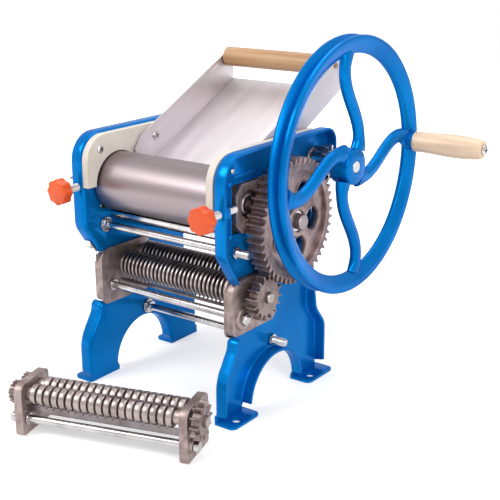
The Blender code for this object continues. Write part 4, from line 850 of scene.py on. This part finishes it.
spindle = [(136, 0), (136, 4), (250.4, 4), (250.4, 6.2), (251.0, 6.5), (252.4, 6.3), (253.2, 5.2), (253.4, 3.6),
           (253.4, 0)]
finished("gripSpindle", spun(spindle, 32), brightSteel, "handwheel", ["handle_spindle"], "grip")
# A near-black cross on the spindle's end: painted shade of a cross slot
capCrossShade = [plate(box(-y, -z, y, z), 252.8, 253.55, (), 0.1) for y, z in ((4, 0.9), (0.9, 4))]
finished("gripCapCrossShade", together(*capCrossShade), paintedShadeFinish, "handwheel", (), "grip")

gripStart = 160.3
gripRings = [  # distance from the boss and radius
    (0, 4.35), (0, 11.4), (0.8, 12.4), (6.2, 12.6), (6.8, 12.2), (7.4, 12.5), (14, 12.5), (22, 12.8), (32, 13.4),
    (42, 13.9), (52, 14.12), (62, 14.05), (72, 13.5), (80, 12.7), (86, 11.8), (89, 10.8), (90, 9.3), (89.8, 4.35),
]
handle = spun([(gripStart + x, r) for x, r in gripRings], 48, True)
finished("gripMade", handle, paleWood, "grip", ["handle_grip"], "grip", 25)
print("handwheel made")


knob = {"radius": 15.3, "lobe": 1.6, "lobes": 8, "front": -86.0, "length": 13.0, "edge": 2.2, "screw": 4.5,
        "pitch": 1.5, "neck": 7.5, "neckLength": 5.0, "dish": 7.2}


def knobShape():
    # Drawn in the (y, z) plane; faceFront turns it later
    size = knob
    bm = bmesh.new()
    bmesh.ops.create_circle(bm, cap_ends=True, segments=128, radius=size["radius"], matrix=alongX)
    for vert in bm.verts:
        angle = math.atan2(vert.co.z, vert.co.y)
        vert.co *= 1 - size["lobe"] / size["radius"] * (1 - math.cos(size["lobes"] * angle)) / 2
    thicken(bm, size["length"])
    edges = [e for e in bm.edges if e.calc_face_angle() > math.radians(60)]
    bevelled(bm, edges, size["edge"], 4)
    out, neck, dish = size["length"] + size["neckLength"], size["neck"], size["dish"]
    collar = spun([(6, 0), (6, neck), (out - 1.2, neck), (out, neck - 1.2), (out, 0)], 40)
    return together(bm, collar, spun([(-0.2, 0), (-0.2, dish), (0.4, dish + 0.6), (0.4, 0)], 48))


front = knob["front"]
for side, name in sides:
    where = shift(0, axes["front"][1], side * screwOut) @ faceFront
    finished("knobMade_" + name, moved(knobShape(), shift(0, 0, front)), orangePlastic, "knob_" + name,
             ["adjusting_knob_" + name], where, 40)
    screw = together(thread(front + 17, -24, knob["screw"], knob["pitch"]), rod(front + 6, front + 19, 4.3))
    finished("screwMade_" + name, screw, brightSteel, "knob_" + name, ["adjusting_screw_" + name], where, 30)
print("knobs made")


cutter = {  # what both cutters share
    "plateInner": 91.0, "zone": 168.0, "shaft": 6.0, "syncGap": 3.5, "syncWidth": 6.0, "syncTeeth": 15,
    "rodEnd": 110.2, "bossHeight": 3.0, "rodRadius": 4.5, "bore": 6.4, "gearBore": 6.3, "finger": 0.28, "strip": 0.75,
}
cutters = {
    "cutter": {
        "rings": 28, "ring": 16.5, "groove": 10.0, "width": 0.42, "foot": 0.62, "round": 0.5, "finish": ringSteel,
        "plate": (39.8, 42.2, 41.0, 21.6), "corners": (9.0, 9.0, 9.0, 15.0), "outer": 102.5, "lip": 3.0,
        "rod": (18.5, 18.5), "boss": 13.0, "nut": 7.5, "centres": 31.5, "tilt": math.radians(10),
        "comb": (18.0, 4.5, 14.0), "stripSpan": (-4.0, 0.0), "teeth": 16, "gear": (110.5, 12.0),
        "phase": meshPhase(0.0, 46, 16, math.radians(-126.9)), "place": shift(8.8565, 136.4864),
        "bodies": ("frame", "cutter_front", "cutter_rear"),
    },
    "spare": {
        "rings": 19, "ring": 11.2, "groove": 7.0, "width": 0.74, "foot": 0.8, "round": 0.7, "finish": paleRings,
        "plate": (16.0, 42.0, 44.5, 14.0), "corners": (4.0, 4.0, 7.0, 10.0), "outer": 100.5, "lip": 0.0,
        "rod": (11.0, 17.0), "boss": 8.0, "nut": 6.5, "centres": 22.5, "tilt": 0.0,
        "comb": (13.0, 3.5, 10.0), "stripSpan": (-6.5, 1.9), "teeth": 12, "gear": (104.0, 10.0),
        "phase": 0.0, "place": shift(-155.871, 44.5, 27.9488) @ Matrix.Rotation(math.radians(16.9), 4, "Z"),
        "bodies": ("spare_frame", "spare_front", "spare_rear"),
    },
}
for unit in cutters.values():
    front, back, low, high = unit["plate"]
    unit["rearAt"] = (unit["centres"] * math.cos(unit["tilt"]), unit["centres"] * math.sin(unit["tilt"]))
    unit["rodAt"] = (-front + unit["rod"][0], -low + unit["rod"][1])
    unit["pitch"] = cutter["zone"] / unit["rings"]
    unit.update(cutter)


def ringRoller(unit, offset, right):
    # One ring is turned, then copied along the shaft and merged
    pitch, shaft, count = unit["pitch"], unit["shaft"], unit["rings"]
    half, foot = pitch * unit["width"] / 2, pitch * unit["foot"] / 2
    top, soft, groove = unit["ring"], unit["round"], unit["groove"]
    bm = spun([
        (-pitch / 2, groove), (-foot, groove), (-foot + 0.05, top - 2.6),
        (-half - 0.05, top - soft * 1.15), (-half + soft * 0.3, top - soft * 0.3), (-half + soft, top),
        (half - soft, top), (half - soft * 0.3, top - soft * 0.3), (half + 0.05, top - soft * 1.15),
        (foot - 0.05, top - 2.6), (foot, groove), (pitch / 2, groove),
    ], 48)
    start = -unit["zone"] / 2 + pitch * offset
    bmesh.ops.translate(bm, verts=bm.verts[:], vec=(start, 0, 0))
    first = bm.verts[:] + bm.edges[:] + bm.faces[:]
    for number in range(1, count):
        made = bmesh.ops.duplicate(bm, geom=first)
        bmesh.ops.translate(bm, verts=vertsIn(made["geom"]), vec=(pitch * number, 0, 0))
    bmesh.ops.remove_doubles(bm, verts=bm.verts[:], dist=0.001)
    body = unit["plateInner"] - 0.3
    left = unit["outer"] + unit["syncGap"] + unit["syncWidth"] + 4
    near, far = start - pitch / 2 + 0.4, start + pitch * (count - 0.5) - 0.4
    return together(bm, spun([
        (-left, 0), (-left, 5.2), (-left + 0.8, shaft), (-body, shaft), (-body, groove + 0.6),
        (near, groove + 0.6), (near, groove - 0.4), (far, groove - 0.4), (far, groove + 0.6),
        (body, groove + 0.6), (body, shaft), (right - 0.8, shaft), (right, 5.2), (right, 0),
    ], 40))


def cutterPlate(unit):
    # The cast end plate; the fitted one has a flange on its inner side
    front, back, low, high = unit["plate"]
    inner, outer, lip, wide = unit["plateInner"], unit["outer"], unit["lip"], unit["boss"]
    lowFront, lowBack, topBack, topFront = unit["corners"]
    bore, face = unit["rodRadius"] + 0.3, outer + unit["bossHeight"]
    holes = [(0, 0, unit["bore"]), (*unit["rearAt"], unit["bore"]), (*unit["rodAt"], bore)]
    cast = plate([
        (-front, -low, lowFront), (back, -low, lowBack), (back, high, topBack), (-front, high, topFront),
    ], inner + 2 if lip else inner, outer, holes, 1.3, 8)
    if lip:
        together(cast, plate([
            (-front, -low - lip, 9), (back + lip, -low - lip, 9), (back + lip, high + lip, 9), (-front, high + lip, 15),
        ], inner, inner + 2.6, holes, 0.9, 8))
    boss = spun([
        (outer - 1, bore), (outer - 1, wide + 0.8), (outer + 0.6, wide),
        (face - 0.8, wide - 0.4), (face, wide - 1.4), (face, bore),
    ], 40, True)
    return together(cast, moved(boss, shift(*unit["rodAt"])))


def comb(unit, offset, toward):
    # A strip with a finger in each groove
    pitch, half, thin = unit["pitch"], unit["plateInner"] - 0.3, unit["strip"]
    drop, behind, reach = unit["comb"]
    low, high = unit["stripSpan"]
    top = drop - math.sqrt(reach ** 2 - (behind - thin) ** 2)
    bm = plate(box(-thin, low, thin, high), -half, half, (), 0.2)
    wide = pitch * unit["finger"] / 2
    finger = plate(box(-thin, -1, thin, top), -wide, wide, (), 0.15)
    for number in range(unit["rings"] - 1):
        place = shift(0, 0, -unit["zone"] / 2 + pitch * (number + offset + 0.5))
        together(bm, moved(finger.copy(), place))
    finger.free()
    return moved(bm, shift(-toward * behind, -drop))


def dressCutter(prefix, unit):
    # The second roller and its comb sit half a ring along from the first
    outer, bore, rodRadius, inner = unit["outer"], unit["gearBore"], unit["rodRadius"], unit["plateInner"]
    place, rearPlace = unit["place"], unit["place"] @ shift(*unit["rearAt"])
    body, frontBody, rearBody = unit["bodies"]
    for side, name in sides:
        finished(prefix + "PlateMade_" + name, mirrored(cutterPlate(unit), side), castGrey, body,
                 [prefix + "_plate_" + name], place)
    end = unit["rodEnd"]
    nutStart = outer + unit["bossHeight"] + 0.3
    parts = [rod(-end, end, rodRadius - 0.1, 0.5)]
    for side, name in sides:
        parts.append(mirrored(hexNut(nutStart, end - 0.5, unit["nut"], 0.3), side))
        parts.append(mirrored(washer(inner - 2, inner - 0.2, 4.3, 6.8), side))
    finished(prefix + "RodMade", together(*parts), brightSteel, body, [prefix + "_tie_rod"],
             place @ shift(*unit["rodAt"]))
    finished(prefix + "CombFront", comb(unit, 0.25, 1), combShadeSteel, body, [prefix + "_comb_front"], place)
    finished(prefix + "CombRear", comb(unit, 0.75, -1), combShadeSteel, body, [prefix + "_comb_rear"], rearPlace)
    gearStart, gearWidth = unit["gear"]
    finished(prefix + "RingsFront", ringRoller(unit, 0.25, gearStart + gearWidth + 4), unit["finish"], frontBody,
             [prefix + "_front_roller"], place)
    finished(prefix + "RingsRear", ringRoller(unit, 0.75, outer - 0.3), unit["finish"], rearBody,
             [prefix + "_rear_roller"], rearPlace)
    drive = gearRing({**train, "teeth": unit["teeth"], "phase": unit["phase"]}, gearStart, gearWidth, bore)
    collar = spun([
        (outer + 3.1, bore), (outer + 3.1, 10.4), (outer + 3.7, 11), (gearStart + 1.5, 11), (gearStart + 1.5, bore),
    ], 36, True)
    finished(prefix + "DriveGearMade", together(drive, collar), shadedGearGrey, frontBody,
             [prefix + "_drive_gear"], place)
    teeth, width = unit["syncTeeth"], unit["syncWidth"]
    sync = {**train, "teeth": teeth, "module": unit["centres"] / teeth}
    rearPhase = meshPhase(unit["phase"], teeth, teeth, unit["tilt"])
    for label, phase, rides, where in (
        ("Front", unit["phase"], frontBody, place), ("Rear", rearPhase, rearBody, rearPlace),
    ):
        gear = gearRing({**sync, "phase": phase}, -(outer + unit["syncGap"] + width), width, bore)
        finished(prefix + "Sync" + label, gear, shadedGearGrey, rides, [prefix + "_sync_gear_" + label.lower()], where)


for prefix, unit in cutters.items():
    dressCutter(prefix, unit)
print("cutters made")


for name, material in (("cutter_latch_left", chromePlate), ("latch_screw_left", brightSteel)):
    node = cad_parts[name]
    node.data.materials.clear()
    node.data.materials.append(material)


def seenRays(nodes, links):
    # 1 for what the camera, metal or glass sees, 0 for light that falls on the machine
    path = nodes.new("ShaderNodeLightPath")
    total = None
    for ray in ("Is Glossy Ray", "Is Transmission Ray"):
        add = nodes.new("ShaderNodeMath")
        add.operation = "ADD"
        add.use_clamp = True
        links.new(total or path.outputs["Is Camera Ray"], add.inputs[0])
        links.new(path.outputs[ray], add.inputs[1])
        total = add.outputs[0]
    return total


def whiteFloor():
    # Lit like any pale bench, so it keeps the shadow, and lifted to white where it is seen
    made, nodes, links, shader = nodesOf("paleFloor", (0.8, 0.8, 0.8), 0.7, 0.0)
    where = nodes.new("ShaderNodeTexCoord")
    away = nodes.new("ShaderNodeVectorMath")
    away.operation = "LENGTH"
    links.new(where.outputs["Object"], away.inputs[0])
    spread = setInputs(nodes.new("ShaderNodeMapRange"), From_Min=0.25, To_Min=0.45)
    links.new(away.outputs["Value"], spread.inputs["Value"])
    lift = nodes.new("ShaderNodeMath")
    lift.operation = "MULTIPLY"
    links.new(spread.outputs["Result"], lift.inputs[1])
    links.new(seenRays(nodes, links), lift.inputs[0])
    setInputs(shader, Specular_IOR_Level=0.0, Emission_Color=(1, 1, 1, 1))
    links.new(lift.outputs[0], shader.inputs["Emission Strength"])
    return made


floorShape = bmesh.new()
bmesh.ops.create_grid(floorShape, x_segments=1, y_segments=1, size=3.0)
bmesh.ops.translate(floorShape, verts=floorShape.verts[:], vec=(0, 0, -0.0005))
floorMesh = meshOf("benchTop", floorShape)
floorMesh.materials.append(whiteFloor())
benchTop = objectOf("benchTop", floorMesh)

# A softly lit studio, white wherever the camera or metal looks at it
world = bpy.data.worlds.new("studio")
bpy.context.scene.world = world
world.use_nodes = True
sky = world.node_tree.nodes
skyLinks = world.node_tree.links
blendIn = sky.new("ShaderNodeMixShader")
skyLinks.new(seenRays(sky, skyLinks), blendIn.inputs["Fac"])
for socket, glow, strength in ((1, sky["Background"], 0.55), (2, sky.new("ShaderNodeBackground"), 1.0)):
    setInputs(glow, Color=(1, 1, 1, 1), Strength=strength)
    skyLinks.new(glow.outputs["Background"], blendIn.inputs[socket])
skyLinks.new(blendIn.outputs["Shader"], sky["World Output"].inputs["Surface"])

lamps = {  # place, size and power
    "keyLamp": ((-0.7, -1.1, 1.3), 0.7, 14),
    "sideLamp": ((1.5, -0.6, 0.9), 0.9, 12),
    "topLamp": ((0.0, 0.4, 1.7), 1.2, 10),
}
aim = Vector((0.0, 0.0, 0.17))
for name, (place, size, power) in lamps.items():
    data = bpy.data.lights.new(name, "AREA")
    data.shape = "SQUARE"
    data.size = size
    data.energy = power
    made = objectOf(name, data)
    made.location = place
    made.rotation_euler = (aim - made.location).to_track_quat("-Z", "Y").to_euler()

view = {"place": (0.73793, -0.86248, 0.52918), "down": 17.5724, "turn": 36.3125, "roll": -0.2012, "lens": 74.43}
cameraData = bpy.data.cameras.new("photoCamera")
cameraData.sensor_width = 36
cameraData.lens = view["lens"]
photoCamera = objectOf("photoCamera", cameraData)
photoCamera.matrix_world = (
    Matrix.Translation(Vector(view["place"]) + machineOrigin)
    @ Matrix.Rotation(math.radians(view["turn"]), 4, "Z")
    @ Matrix.Rotation(math.radians(90 - view["down"]), 4, "X")
    @ Matrix.Rotation(math.radians(view["roll"]), 4, "Z")
)
bpy.context.scene.camera = photoCamera
bpy.context.scene.view_settings.view_transform = "Standard"
print("floor, lights and camera set")
